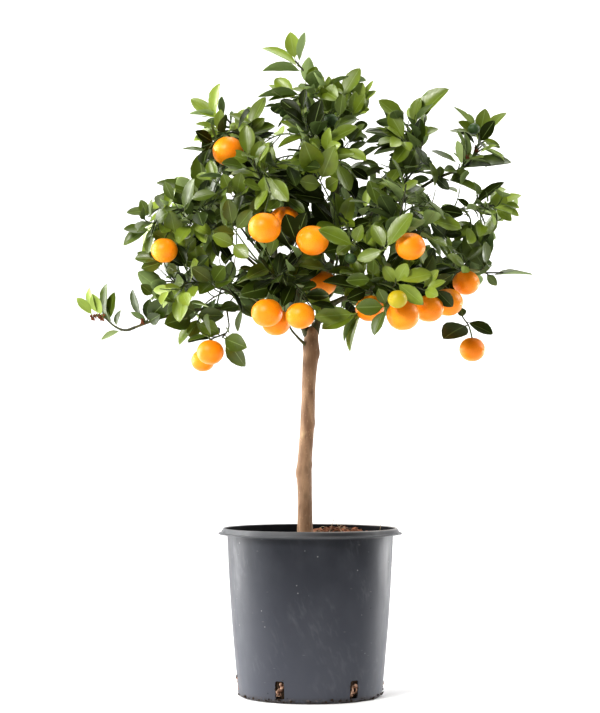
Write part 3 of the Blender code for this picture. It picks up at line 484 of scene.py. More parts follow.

# Sprays that the photo shows leaf by leaf, in its pixels: where the shoot ends, its depth behind the trunk,
# its green, and each leaf's tip and breadth as seen. Darker greens are painted shade, lighter ones painted
# light and fresher growth. A breadth below zero shows the underside. A fourth number is how many
# millimetres the tip lies behind the leaf's root.
SPRAYS = tuple(Spray(*row) for row in (
    ((294, 62), 0.000, "fresh", ((289, 31, 14), (305, 30, -6), (261, 47, 11), (262, 67, -7))),
    ((305, 84), -0.004, "olive", ((310, 57, -12), (317, 66, 12), (332, 103, 11), (296, 106, 10))),
    ((291, 97), -0.006, "fresh", ((267, 85, 6), (273, 78, 14), (268, 101, 7), (257, 95, -8),
                                  (295, 118, 13))),
    ((303, 131), -0.020, "olive", ((280, 120, 6), (286, 130, -6), (278, 148, 9), (318, 146, 13))),
    ((341, 99), -0.006, "olive", ((361, 66, 14), (334, 79, 15), (327, 75, 8), (322, 96, 11))),
    ((362, 100), 0.002, "fresh", ((374, 79, 6), (377, 89, 7), (363, 81, 12), (370, 110, 7),
                                  (350, 90, 9))),
    ((350, 128), -0.004, "green", ((369, 125, 9), (346, 112, 12), (362, 140, 10), (334, 121, 11))),
    ((214, 121), -0.012, "fresh", ((217, 82, 8), (188, 100, 12), (221, 95, -6), (189, 112, -5))),
    ((217, 132), -0.022, "fresh", ((221, 109, 10), (195, 124, 7), (193, 141, 13), (232, 128, 9))),
    ((210, 152), -0.020, "green", ((181, 149, 6), (204, 164, 8))),
    ((252, 124), -0.014, "olive", ((228, 114, 9), (264, 94, 13), (265, 119, 10), (276, 126, 10),
                                   (242, 136, 9))),
    ((248, 157), -0.060, "olive", ((245, 123, 15), (228, 155, 13), (261, 143, 12))),
    ((262, 172), -0.050, "olive", ((257, 134, 16), (272, 146, 14), (240, 171, 13), (284, 180, 13))),
    ((205, 199), -0.050, "green", ((199, 153, 20), (158, 179, 13), (157, 197, 15), (172, 175, 9),
                                   (218, 162, 14))),
    ((148, 217), -0.034, "green", ((139, 200, 9), (148, 203, -6), (126, 215, 8), (159, 201, 11))),
    ((150, 231), -0.044, "green", ((124, 229, 9), (123, 244, 11), (164, 216, 13))),
    ((176, 241), -0.056, "olive", ((170, 212, 17), (152, 234, 14), (186, 222, 14), (196, 240, 13))),
    ((162, 258), -0.070, "green", ((134, 260, 12), (142, 270, 12), (176, 272, 10))),
    ((167, 296), -0.046, "green", ((136, 274, -16), (151, 283, -13), (146, 290, 6), (181, 286, 14))),
    ((93, 316), -0.020, "young", ((75, 299, 8), (86, 288, 6), (90, 295, 10))),
    ((107, 319), -0.018, "green", ((104, 284, 6), (112, 293, 9), (99, 302, 7), (118, 309, 6))),
    ((121, 331), -0.020, "fresh", ((100, 340, -5),)),
    ((141, 320), -0.022, "dark", ((129, 291, 7), (167, 303, 18), (130, 313, -6), (159, 318, 12),
                                  (149, 299, 9))),
    ((194, 317), -0.030, "green", ((167, 327, 20), (221, 319, 15), (180, 306, 12))),
    ((197, 323), -0.036, "olive", ((216, 336, 16), (178, 343, 9), (191, 338, 13))),
    ((221, 341), -0.052, "green", ((243, 351, 17), (241, 368, 14), (228, 330, 6))),
    ((243, 306), -0.030, "green", ((236, 331, -5), (254, 317, 12), (222, 311, 12))),
    ((357, 314), -0.116, "olive", ((315, 321, 17), (324, 332, 14), (340, 340, -5), (348, 351, 7))),
    ((386, 308), -0.158, "green", ((374, 334, 9), (357, 311, 16), (378, 291, 11))),
    ((396, 281), -0.162, "fresh", ((434, 277, 13), (421, 306, 14), (408, 266, 13), (384, 268, 12))),
    ((425, 290), -0.156, "fresh", ((446, 281, 8), (436, 297, 11), (439, 271, 9))),
    ((436, 289), -0.110, "dark", ((451, 308, 13), (452, 279, 12))),
    ((373, 279), -0.150, "green", ((347, 283, 13), (373, 262, 11))),
    ((366, 290), -0.136, "deep", ((322, 283, 14), (350, 300, 12))),
    ((469, 328), -0.018, "dark", ((446, 338, 17, -22), (492, 336, 10), (461, 309, 8))),
    ((489, 276), 0.000, "green", ((533, 273, 6), (496, 286, -8))),
    ((485, 268), -0.030, "green", ((464, 238, 18), (491, 246, 8), (470, 262, -10))),
    ((479, 242), -0.020, "green", ((457, 222, 15), (458, 252, 12), (480, 219, 12), (492, 232, 5))),
    ((474, 205), -0.018, "deep", ((504, 181, 8), (458, 199, 6))),
    ((497, 209), -0.020, "fresh", ((503, 194, 15), (522, 195, 8), (520, 207, 8), (519, 217, 7),
                                   (511, 221, 10))),
    ((478, 131), 0.006, "olive", ((454, 105, 9), (487, 109, 14), (507, 110, 9), (460, 121, 8),
                                  (449, 131, 9), (500, 148, 7))),
    ((460, 163), 0.000, "green", ((431, 150, 7), (513, 164, 10), (446, 172, 9))),
    ((449, 180), -0.006, "green", ((471, 173, 9), (484, 192, 8), (440, 166, 8))),
    ((406, 123), -0.008, "olive", ((379, 99, 13), (450, 88, 13), (420, 96, 9), (423, 118, -6))),
    ((405, 138), -0.016, "olive", ((431, 129, 12), (440, 129, 8), (365, 132, 11), (374, 155, 8),
                                   (384, 125, 8))),
    ((404, 177), -0.020, "green", ((417, 150, 16), (392, 162, 13), (386, 180, 12))),
    ((436, 171), -0.008, "dark", ((415, 151, 9), (448, 190, 9), (411, 182, -8))),
    ((385, 250), -0.176, "olive", ((413, 212, 15), (357, 262, 12), (372, 224, 13))),
    ((356, 246), -0.170, "olive", ((318, 232, 16), (362, 228, 11), (337, 255, 11))),
    ((297, 243), -0.130, "deep", ((285, 214, 17), (306, 212, 13), (276, 224, 14), (292, 222, 12))),
    ((232, 226), -0.120, "green", ((228, 200, 14), (252, 212, 13), (214, 234, 13))),
    ((232, 243), -0.150, "olive", ((246, 258, 14), (212, 238, 13))),
    ((318, 176), -0.110, "olive", ((305, 150, 22, -14), (334, 152, 20), (300, 184, 15),
                                   (336, 182, 14))),
    ((312, 180), -0.060, "dark", ((293, 158, 13), (301, 149, 15), (297, 170, 12))),
    ((152, 300), -0.050, "green", ((164, 290, 12), (141, 287, 10), (170, 301, 13))),
    ((212, 282), -0.080, "green", ((194, 272, 14), (224, 268, 15), (202, 292, 13), (230, 283, 12))),
    ((232, 196), -0.090, "olive", ((222, 176, 13), (240, 178, 14), (246, 194, 13))),
    ((447, 238), -0.040, "dark", ((432, 226, 13), (456, 224, 13), (434, 244, 13), (461, 236, 12))),
))

# Each mass of foliage hangs on one bough. A bough leaves its parent limb at a share of its length,
# bows by an offset at its middle and ends at its tip, where the mass's stem goes on to the lead.
# The radii are those of the space that the shoots' ends fill. An orange is x, y, z and diameter.
MASSES = tuple(Mass(name, Bough(*bough), *rest) for name, bough, *rest in (
    ("upper_left",
     ("trunk", 0.955, (-0.066, -0.002, 0.628), (-0.012, -0.002, 0.000), 0.0046),
     (-0.098, -0.012, 0.670), (0.040, 0.046, 0.044), (-0.106, -0.010, 0.696),
     ((-0.064, -0.003, 0.690), (-0.128, -0.010, 0.682), (-0.124, -0.018, 0.646)), 18,
     ((-0.097, -0.052, 0.646, 0.037),)),
    ("crown_top",
     ("trunk", 0.956, (0.031, 0.006, 0.664), (0.012, 0.002, -0.010), 0.0046),
     (0.020, 0.006, 0.712), (0.056, 0.052, 0.050), (-0.018, 0.000, 0.762),
     ((0.046, -0.008, 0.722), (0.056, 0.006, 0.704), (-0.032, 0.000, 0.714),
      (0.008, -0.004, 0.730)), 24,
     ()),
    ("arm_tip",
     ("upper_left", 0.12, (-0.212, -0.020, 0.438), (0.000, -0.004, 0.019), 0.0033),
     (-0.236, -0.020, 0.460), (0.016, 0.024, 0.016), (-0.244, -0.020, 0.450),
     ((-0.232, -0.022, 0.460), (-0.240, -0.012, 0.456)), 10,
     ()),
    ("left_low",
     ("arm_tip", 0.36, (-0.104, -0.034, 0.484), (0.004, 0.000, 0.003), 0.0021),
     (-0.142, -0.048, 0.484), (0.050, 0.050, 0.026), (-0.178, -0.050, 0.492),
     ((-0.172, -0.052, 0.466), (-0.150, -0.085, 0.478)), 16,
     ()),
    ("hanging_left",
     ("arm_tip", 0.43, (-0.097, -0.034, 0.446), (-0.002, 0.000, 0.006), 0.0017),
     (-0.108, -0.050, 0.412), (0.030, 0.030, 0.024), (-0.104, -0.048, 0.426),
     ((-0.092, -0.050, 0.414), (-0.126, -0.048, 0.424)), 6,
     ((-0.127, -0.040, 0.399, 0.028), (-0.117, -0.070, 0.408, 0.032))),
    ("left",
     ("upper_left", 0.36, (-0.108, -0.028, 0.556), (0.004, -0.002, -0.010), 0.0028),
     (-0.150, -0.042, 0.564), (0.050, 0.050, 0.046), (-0.176, -0.036, 0.580),
     ((-0.186, -0.042, 0.549), (-0.158, -0.044, 0.586)), 22,
     ((-0.170, -0.084, 0.526, 0.031),)),
    ("front_left",
     ("upper_left", 0.50, (-0.046, -0.050, 0.574), (0.004, 0.000, -0.006), 0.0024),
     (-0.058, -0.096, 0.600), (0.052, 0.048, 0.050), (-0.066, -0.100, 0.630),
     (), 18,
     ((-0.052, -0.165, 0.545, 0.037), (-0.030, -0.100, 0.560, 0.035))),
    ("front_top",
     ("crown_top", 0.56, (0.010, -0.032, 0.604), (0.002, 0.000, -0.006), 0.0023),
     (0.006, -0.072, 0.640), (0.052, 0.050, 0.042), (0.006, -0.080, 0.664),
     (), 18,
     ((0.024, -0.056, 0.682, 0.017),)),
    ("inner",
     ("crown_top", 0.26, (0.032, -0.024, 0.522), (0.002, 0.000, -0.004), 0.0021),
     (0.036, -0.078, 0.540), (0.040, 0.042, 0.040), (0.036, -0.080, 0.556),
     (), 11,
     ((0.046, -0.126, 0.513, 0.013),)),
    ("front_right",
     ("upper_left", 0.28, (0.072, -0.098, 0.522), (0.000, -0.004, 0.004), 0.0026),
     (0.104, -0.106, 0.568), (0.052, 0.046, 0.042), (0.110, -0.112, 0.600),
     ((0.070, -0.112, 0.570),), 18,
     ((0.112, -0.165, 0.524, 0.034),)),
    ("centre_low",
     ("trunk", 0.905, (-0.030, -0.066, 0.470), (-0.010, 0.008, 0.000), 0.0018),
     (-0.026, -0.106, 0.486), (0.050, 0.046, 0.034), (-0.050, -0.112, 0.500),
     ((0.006, -0.118, 0.480),), 15,
     ((-0.050, -0.128, 0.451, 0.036), (-0.040, -0.090, 0.442, 0.034), (-0.012, -0.142, 0.447, 0.033),
      (0.014, -0.062, 0.489, 0.033), (0.002, -0.150, 0.532, 0.037))),
    ("right_low",
     ("crown_top", 0.13, (0.070, -0.066, 0.478), (0.000, 0.000, 0.006), 0.0027),
     (0.108, -0.098, 0.486), (0.056, 0.050, 0.030), (0.142, -0.104, 0.494),
     ((0.050, -0.112, 0.440), (0.080, -0.124, 0.452), (0.088, -0.112, 0.500)), 17,
     ((0.068, -0.110, 0.457, 0.033), (0.105, -0.140, 0.448, 0.038), (0.136, -0.108, 0.457, 0.035),
      (0.160, -0.078, 0.466, 0.036), (0.097, -0.172, 0.464, 0.022))),
    ("right_outer",
     ("crown_top", 0.20, (0.174, 0.002, 0.628), (0.004, -0.004, 0.030), 0.0036),
     (0.204, 0.008, 0.656), (0.024, 0.034, 0.034), (0.206, 0.010, 0.672),
     ((0.212, 0.006, 0.642), (0.216, 0.012, 0.672)), 13,
     ((0.197, -0.004, 0.679, 0.015),)),
    ("right_inner",
     ("right_outer", 0.48, (0.112, -0.008, 0.612), (-0.002, 0.000, 0.002), 0.0022),
     (0.120, -0.010, 0.656), (0.040, 0.042, 0.042), (0.138, -0.010, 0.692),
     ((0.092, -0.010, 0.680), (0.134, -0.012, 0.654)), 15,
     ()),
    ("right",
     ("right_outer", 0.58, (0.178, -0.012, 0.580), (0.000, 0.000, -0.003), 0.0020),
     (0.208, -0.018, 0.574), (0.028, 0.044, 0.036), (0.224, -0.020, 0.586),
     ((0.218, -0.022, 0.562),), 14,
     ()),
    ("right_low_outer",
     ("crown_top", 0.17, (0.164, -0.002, 0.504), (0.000, -0.004, 0.008), 0.0028),
     (0.200, -0.002, 0.508), (0.042, 0.048, 0.028), (0.232, 0.000, 0.506),
     ((0.230, 0.004, 0.494), (0.206, 0.010, 0.522)), 16,
     ((0.184, -0.044, 0.491, 0.032),)),
    ("hanging_right",
     ("right_low_outer", 0.86, (0.176, -0.014, 0.468), (0.006, 0.000, 0.006), 0.0015),
     (0.192, -0.018, 0.430), (0.024, 0.026, 0.022), (0.189, -0.018, 0.442),
     ((0.196, -0.020, 0.438),), 4,
     ((0.193, -0.020, 0.413, 0.031),)),
    ("back_left_low",
     ("upper_left", 0.10, (-0.070, 0.064, 0.480), (0.004, 0.000, -0.004), 0.0028),
     (-0.122, 0.108, 0.486), (0.062, 0.056, 0.036), (-0.160, 0.130, 0.496),
     (), 18,
     ((-0.118, 0.158, 0.470, 0.018),)),
    ("back_low",
     ("trunk", 0.93, (0.004, 0.084, 0.474), (0.000, 0.000, -0.006), 0.0026),
     (0.000, 0.142, 0.484), (0.058, 0.052, 0.034), (0.000, 0.178, 0.494),
     (), 17,
     ((-0.012, 0.172, 0.463, 0.035), (-0.051, 0.165, 0.466, 0.031))),
    ("back_right_low",
     ("crown_top", 0.10, (0.074, 0.064, 0.486), (0.000, 0.000, -0.004), 0.0028),
     (0.126, 0.106, 0.490), (0.060, 0.056, 0.036), (0.162, 0.128, 0.500),
     (), 18,
     ((0.151, 0.145, 0.471, 0.035), (0.171, 0.086, 0.475, 0.034))),
    ("back_left",
     ("upper_left", 0.44, (-0.084, 0.050, 0.564), (0.004, 0.002, -0.008), 0.0026),
     (-0.124, 0.084, 0.580), (0.058, 0.056, 0.048), (-0.150, 0.104, 0.610),
     (), 18,
     ((-0.142, 0.150, 0.560, 0.034),)),
    ("back",
     ("crown_top", 0.36, (0.004, 0.072, 0.560), (0.000, 0.002, -0.004), 0.0025),
     (-0.004, 0.134, 0.580), (0.056, 0.052, 0.046), (-0.006, 0.160, 0.604),
     (), 17,
     ((0.004, 0.180, 0.560, 0.036),)),
    ("back_right",
     ("crown_top", 0.42, (0.072, 0.046, 0.576), (0.000, 0.002, -0.008), 0.0026),
     (0.114, 0.086, 0.600), (0.058, 0.056, 0.048), (0.140, 0.106, 0.628),
     (), 18,
     ((0.104, 0.140, 0.570, 0.034),)),
    ("back_top",
     ("crown_top", 0.64, (0.000, 0.044, 0.636), (0.000, 0.000, -0.006), 0.0022),
     (-0.012, 0.082, 0.668), (0.056, 0.050, 0.042), (-0.014, 0.094, 0.698),
     (), 17,
     ((0.000, 0.125, 0.657, 0.034),)),
))

# Leaf greens from painted shade inside the crown to painted light on its outside and top, where new growth
# is paler too: upper side, underside and gloss
LEAF_TONES = {
    "leaves_deep": ((0.014, 0.021, 0.001), (0.085, 0.120, 0.040), 0.12),
    "leaves_dark": ((0.030, 0.048, 0.004), (0.110, 0.155, 0.058), 0.34),
    "leaves_green": ((0.067, 0.099, 0.006), (0.165, 0.220, 0.080), 0.50),
    "leaves_olive": ((0.126, 0.174, 0.012), (0.215, 0.285, 0.105), 0.55),
    "leaves_fresh": ((0.210, 0.278, 0.030), (0.270, 0.355, 0.140), 0.56),
    "leaves_young": ((0.315, 0.410, 0.085), (0.360, 0.450, 0.190), 0.50),
}
MIDRIB_GREEN = (0.30, 0.40, 0.14)
UNDERSIDE_GLOSS = 0.4
SCAR_TAN = (0.42, 0.30, 0.17)

# How a spray's green is dealt: by its height and its way out from the trunk, with some chance, and how much
# lighter it is in some masses. Lighter greens stand for fresher growth and painted light, darker ones for
# painted shade
TONE_BASE = 0.40
TONE_SPREAD = 0.24
TONE_HEIGHT = 0.56
TONE_PER_METRE = 1.25
TONE_RADIUS = 0.12
TONE_OUTWARD = 1.5
FRESH_AND_LIT_MASSES = {"arm_tip": 0.36, "crown_top": 0.20, "left": 0.08, "left_low": 0.10}

# Softboxes: name, place, what it points at, size, power, colour and spread in degrees
CROWN_MIDDLE = (0.0, 0.0, 0.45)
POT_MIDDLE = (0.0, 0.0, 0.07)
PURE_WHITE = (1.0, 1.0, 1.0)
SOFTBOXES = (
    ("key_light", (-1.5, -2.3, 2.1), CROWN_MIDDLE, 0.9, 95, (1.0, 0.985, 0.955), 180),
    ("fill_light", (2.4, -1.8, 1.2), CROWN_MIDDLE, 2.0, 5, (0.97, 0.985, 1.0), 180),
    ("side_light", (-2.2, 0.5, 0.7), CROWN_MIDDLE, 1.4, 48, PURE_WHITE, 180),
    ("top_light", (0.3, 0.7, 2.6), CROWN_MIDDLE, 1.6, 30, PURE_WHITE, 180),
    ("floor_light_left", (-2.4, 0.6, 1.6), (0.6, 2.8, 0.9), 1.2, 60, PURE_WHITE, 180),
    ("floor_light_right", (2.4, 0.6, 1.6), (-0.6, 2.8, 0.9), 1.2, 60, PURE_WHITE, 180),
    ("backdrop_light_left", (-2.4, 3.0, 1.6), (0.6, 5.2, 0.9), 1.2, 34, PURE_WHITE, 180),
    ("backdrop_light_right", (2.4, 3.0, 1.6), (-0.6, 5.2, 0.9), 1.2, 60, PURE_WHITE, 180),
    ("pot_light_left", (-1.3, 0.8, 0.12), POT_MIDDLE, 0.6, 0.9, PURE_WHITE, 40),
    ("pot_light_right", (1.3, 1.0, 0.12), POT_MIDDLE, 0.6, 1.3, PURE_WHITE, 40),
)
ROOM_LIGHT = 0.10

# Floor and backdrop
FLOOR_REACH = 6.0
SWEEP_START = 4.0
SWEEP_RADIUS = 1.2
SWEEP_STEPS = 16
WALL_TOP = 5.0

# The masses' spaces, and the nodes of the model that they and their boughs stand for
CENTRES = np.array([mass.centre for mass in MASSES])
CELL_SIZES = np.array([sum(mass.radii) / 3 for mass in MASSES])
FOLIAGE = ["foliage_" + mass.name for mass in MASSES]
BOUGHS = ["bough_" + mass.name for mass in MASSES]


# Small helpers

def placed(name, data):
    """A new object in the scene."""
    made = bpy.data.objects.new(name, data)
    bpy.context.scene.collection.objects.link(made)
    return made


def mesh_object(name, mesh, *surfaces):
    made = placed(name, mesh)
    if surfaces:
        mesh.materials.clear()
        for surface in surfaces:
            mesh.materials.append(surface)
    return made


def evaluated_mesh(piece):
    """The mesh that the piece's modifiers show."""
    bpy.context.view_layer.update()
    graph = bpy.context.evaluated_depsgraph_get()
    return bpy.data.meshes.new_from_object(piece.evaluated_get(graph))


def apply_modifiers(piece):
    mesh = evaluated_mesh(piece)
    piece.modifiers.clear()
    old = piece.data
    piece.data = mesh
    bpy.data.meshes.remove(old)


def mesh_from(shape, name):
    """A new mesh of a finished shape, which is freed."""
    mesh = bpy.data.meshes.new(name)
    shape.to_mesh(mesh)
    shape.free()
    return mesh


def shade_round(mesh, angle):
    mesh.shade_smooth()
    mesh.set_sharp_from_angle(angle=angle)


def hand_in(piece, slot, *nodes):
    """The piece rides on the tree's one body and stands for its nodes, which are hidden. The slot is not
    used.
    """
    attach(piece, "root")
    if nodes:
        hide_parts(*nodes)


# Finishes

class Finish:
    """A Principled material with short ways to add its nodes."""

    def __init__(self, name, roughness, gloss):
        self.made = bpy.data.materials.new(name)
        self.made.use_nodes = True
        self.nodes = self.made.node_tree.nodes
        self.link = self.made.node_tree.links.new
        self.shader = self.nodes["Principled BSDF"]
        self.shader.inputs["Roughness"].default_value = roughness
        self.shader.inputs["Specular IOR Level"].default_value = gloss
        self.place = self.nodes.new("ShaderNodeTexCoord")

    def feed(self, socket, value):
        """Link the socket where the value is another node's output, and set it otherwise."""
        if isinstance(value, bpy.types.NodeSocket):
            self.link(value, socket)
        else:
            socket.default_value = value

    def node(self, kind, output, **inputs):
        made = self.nodes.new("ShaderNode" + kind)
        for socket, value in inputs.items():
            self.feed(made.inputs[socket.replace("_", " ")], value)
        return made.outputs[output]

    def stretched(self, stretch, lean=0.0):
        """Object coordinates, leant over to the right in degrees and then stretched."""
        tilt = (0, math.radians(lean), 0)
        leant = self.node("Mapping", "Vector", Vector=self.place.outputs["Object"], Rotation=tilt)
        return self.node("Mapping", "Vector", Vector=leant, Scale=stretch)

    def noise(self, scale, stretch=(1, 1, 1), detail=3.0, lean=0.0):
        place = self.stretched(stretch, lean)
        return self.node("TexNoise", "Fac", Vector=place, Scale=scale, Detail=detail)

    def cells(self, scale, stretch=(1, 1, 1)):
        return self.node("TexVoronoi", "Distance", Vector=self.stretched(stretch), Scale=scale)

    def axis(self, letter, source="Object"):
        """A coordinate in metres. From a leaf's UV map, X runs from root to tip and Y across it."""
        return self.node("SeparateXYZ", letter, Vector=self.place.outputs[source])

    def attribute(self, name):
        node = self.nodes.new("ShaderNodeAttribute")
        node.attribute_name = name
        return node.outputs["Fac"]

    def between(self, value, low, high, first=0.0, last=1.0):
        """The value's place between low and high, as a number between first and last."""
        return self.node("MapRange", "Result", Value=value, From_Min=low, From_Max=high,
                         To_Min=first, To_Max=last)

    def math(self, operation, a, b=0.0):
        node = self.nodes.new("ShaderNodeMath")
        node.operation = operation
        for socket, value in zip(node.inputs, (a, b)):
            self.feed(socket, value)
        return node.outputs["Value"]

    def mix(self, share, a, b):
        node = self.nodes.new("ShaderNodeMix")
        node.data_type = "RGBA"
        self.link(share, node.inputs["Factor"])
        for socket, value in zip((s for s in node.inputs if s.type == "RGBA"), (a, b)):
            self.feed(socket, (*value, 1.0) if isinstance(value, tuple) else value)
        return next(s for s in node.outputs if s.type == "RGBA")

    def colour(self, value):
        self.tint = value
        self.link(value, self.shader.inputs["Base Color"])

    def over(self, share, tone):
        """One more layer of colour over the earlier ones."""
        self.colour(self.mix(share, self.tint, tone))

    def rough(self, value):
        self.link(value, self.shader.inputs["Roughness"])

    def bump(self, height, strength, distance):
        """One more layer of relief over the earlier ones."""
        normal = self.shader.inputs["Normal"]
        earlier = {"Normal": normal.links[0].from_socket} if normal.links else {}
        relief = self.node("Bump", "Normal", Height=height, Strength=strength, Distance=distance, **earlier)
        self.link(relief, normal)


def shade(colour, by):
    return tuple(min(1.0, c * by) for c in colour)


def blend(a, b, share):
    return tuple(p + (q - p) * share for p, q in zip(a, b))


def leaf_finish(name, colour, gloss, underside=False):
    """A waxy upper side with a sunk midrib and side veins, or a paler, duller underside."""
    finish = Finish(name, 0.36, gloss * UNDERSIDE_GLOSS if underside else gloss)
    aside = finish.math("ABSOLUTE", finish.math("SUBTRACT", finish.axis("Y", "UV"), 0.5))
    midrib = finish.between(aside, 0.010, 0.034, 1.0, 0.0)
    clouds = finish.between(finish.noise(46.0), 0.35, 0.68)
    blade = finish.mix(clouds, shade(colour, 0.84), shade(colour, 1.16))
    finish.colour(finish.mix(midrib, blade, blend(colour, MIDRIB_GREEN, 0.38)))
    along = finish.math("MULTIPLY", finish.axis("X", "UV"), 10.5)
    slant = finish.math("SUBTRACT", along, finish.math("MULTIPLY", aside, 5.5))
    vein = finish.math("ABSOLUTE", finish.math("SUBTRACT", finish.math("FRACT", slant), 0.5))
    relief = finish.math("ADD", finish.between(vein, 0.0, 0.14), finish.between(aside, 0.0, 0.06))
    finish.bump(relief, 0.30, -0.0002 if underside else 0.0002)
    low, high = (0.56, 0.72) if underside else (0.29, 0.44)
    finish.rough(finish.between(finish.noise(160.0), 0.3, 0.7, low, high))
    return finish.made


def bark_finish(name, light, dark, streak):
    """Smooth citrus bark: fine stretch marks, pale flecks, and dark and pale scars."""
    finish = Finish(name, 0.74, 0.25)
    grain = finish.between(finish.noise(170.0, (1, 1, streak), detail=5.0), 0.33, 0.68)
    finish.colour(finish.mix(grain, dark, light))
    flecks = finish.between(finish.cells(330.0, (1, 1, 0.55)), 0.14, 0.24, 0.35, 0.0)
    finish.over(flecks, shade(light, 1.45))
    patches = finish.between(finish.noise(34.0, (1, 1, 0.5)), 0.48, 0.70, 0.0, 0.28)
    finish.over(patches, shade(dark, 0.72))
    mark = finish.attribute("mark")
    finish.over(finish.between(mark, 0.0, -1.0, 0.0, 0.75), shade(dark, 0.25))
    finish.over(finish.between(mark, 0.0, 1.0, 0.0, 0.80), SCAR_TAN)
    finish.bump(grain, 0.45, 0.0005)
    finish.bump(finish.noise(900.0, (1, 1, 0.3), detail=4.0), 0.30, 0.0002)
    return finish.made


def twig_finish(name, light, dark):
    finish = Finish(name, 0.55, 0.35)
    grain = finish.between(finish.noise(210.0, detail=4.0), 0.36, 0.66)
    finish.colour(finish.mix(grain, dark, light))
    finish.bump(finish.noise(800.0, detail=3.0), 0.35, 0.0002)
    return finish.made


def peel_finish(name, colour, blush):
    """Glossy citrus peel with oil dimples and slow changes of colour."""
    finish = Finish(name, 0.40, 0.34)
    tint = finish.between(finish.noise(38.0, detail=2.0), 0.34, 0.70)
    spots = finish.between(finish.cells(620.0), 0.05, 0.40)
    finish.colour(finish.mix(spots, shade(colour, 0.88), finish.mix(tint, colour, blush)))
    finish.bump(finish.cells(1050.0), 0.50, 0.0003)
    finish.bump(finish.noise(150.0, detail=2.0), 0.25, 0.0008)
    finish.rough(finish.between(finish.noise(300.0), 0.3, 0.7, 0.30, 0.46))
    return finish.made


def plastic_finish():
    """Blue-grey plastic with painted shade under its rim that lightens towards its foot, where it is also
    dustier, with scuffs, light specks, pits, a dirty edge, a worn rim, and at the right a painted shadow in
    the groove and a painted highlight on the lip."""
    finish = Finish("pot_plastic", 0.42, 0.26)
    height = finish.axis("Z")
    # Painted shade: darkest under the rim and lighter towards the foot, for the shadow of the rim and
    # crown, with dust that lies thicker low down
    rim_shade_and_dust = finish.between(height, *POT_SHADE_AND_DUST)
    finish.colour(finish.mix(rim_shade_and_dust, (0.060, 0.064, 0.080), (0.015, 0.017, 0.023)))
    clouds = finish.between(finish.noise(24.0, (1, 1, 0.7), detail=4.0), 0.40, 0.66, 0.0, 0.20)
    finish.over(clouds, (0.075, 0.078, 0.090))
    patches = finish.between(finish.noise(17.0, detail=2.0), 0.46, 0.60)
    scuffs = finish.between(finish.noise(210.0, (1, 1, 0.30), detail=5.0, lean=24.0), 0.50, 0.74, 0.0, 0.25)
    finish.over(finish.math("MULTIPLY", patches, scuffs), (0.125, 0.130, 0.140))
    scratches = finish.between(finish.cells(30.0, (1.0, 1.0, 4.5)), 0.040, 0.060, 0.30, 0.0)
    finish.over(scratches, (0.20, 0.20, 0.20))
    specks = finish.between(finish.cells(62.0), 0.030, 0.062, 0.42, 0.0)
    finish.over(specks, (0.36, 0.36, 0.35))
    pits = finish.between(finish.cells(37.0, (1.1, 0.9, 1.3)), 0.034, 0.052, 0.55, 0.0)
    finish.over(pits, (0.014, 0.014, 0.016))
    foot = finish.between(height, *DIRTY_FOOT)
    dirt = finish.between(finish.noise(210.0, detail=5.0), 0.36, 0.56, 0.0, 0.85)
    finish.over(finish.math("MULTIPLY", foot, dirt), (0.040, 0.032, 0.026))
    crumbs = finish.between(finish.noise(330.0, detail=3.0), 0.60, 0.68, 0.0, 0.60)
    finish.over(finish.math("MULTIPLY", foot, crumbs), (0.22, 0.17, 0.13))
    rim = finish.between(height, *WORN_RIM)
    wear = finish.between(finish.noise(60.0, (1, 1, 2.0)), 0.30, 0.70, 0.62, 0.82)
    finish.over(finish.math("MULTIPLY", rim, wear), (0.098, 0.101, 0.106))
    # Painted shadow: the groove under the lip is painted near-black on the right side
    groove = finish.between(height, *GROOVE_FLOOR)
    groove = finish.math("MULTIPLY", groove, finish.between(height, *GROOVE_TOP))
    right = finish.between(finish.axis("X"), *LIGHT_AND_SHADE_SIDE, 0.08, 0.75)
    finish.over(finish.math("MULTIPLY", groove, right), (0.016, 0.016, 0.018))
    # Painted highlight: the top of the lip is painted pale on the right side
    lip = finish.between(height, *LIP_HIGHLIGHT)
    finish.over(finish.math("MULTIPLY", lip, right), (0.26, 0.24, 0.225))
    finish.rough(finish.between(finish.noise(90.0, (1, 1, 0.3)), 0.3, 0.7, 0.40, 0.54))
    finish.bump(finish.noise(70.0, (1, 1, 0.5)), 0.08, 0.0006)
    finish.bump(finish.noise(1500.0, detail=2.0), 0.10, 0.0001)
    return finish.made


def earthy_finish(name, dark, light, scale):
    finish = Finish(name, 0.92, 0.15)
    grains = finish.between(finish.noise(scale, detail=6.0), 0.36, 0.66)
    finish.colour(finish.mix(grains, dark, light))
    finish.bump(grains, 0.7, 0.0008)
    return finish.made


# Paths of limbs

def bezier(start, control, end, steps):
    """The points of a quadratic curve from start to end."""
    shares = [i / steps for i in range(steps + 1)]
    return [start * (1 - t) ** 2 + control * 2 * t * (1 - t) + end * t ** 2 for t in shares]


def narrowing(points, first, last):
    """A limb on a path whose radius changes evenly from its first point to its last."""
    count = len(points)
    return Twig(points, [first + (last - first) * i / (count - 1) for i in range(count)])


def along_path(points, share):
    """The point at a share of a path's length, and the path's direction there."""
    lengths = [(b - a).length for a, b in zip(points, points[1:])]
    left = share * sum(lengths)
    for a, b, length in zip(points, points[1:], lengths):
        if left <= length:
            return a.lerp(b, left / length), (b - a).normalized()
        left -= length
    return points[-1].copy(), (points[-1] - points[-2]).normalized()


def path_length(points):
    return sum((b - a).length for a, b in zip(points, points[1:]))


def bough_path(bough, limbs):
    """A bough starts on its parent's axis and bows by its offset at the middle."""
    start, _ = along_path(limbs[bough.parent].points, bough.along)
    tip = Vector(bough.tip)
    control = (start + tip) / 2 + 2 * Vector(bough.bow)
    points = bezier(start, control, tip, BOUGH_STEPS)
    return narrowing(points, bough.radius, bough.radius * BOUGH_TAPER)


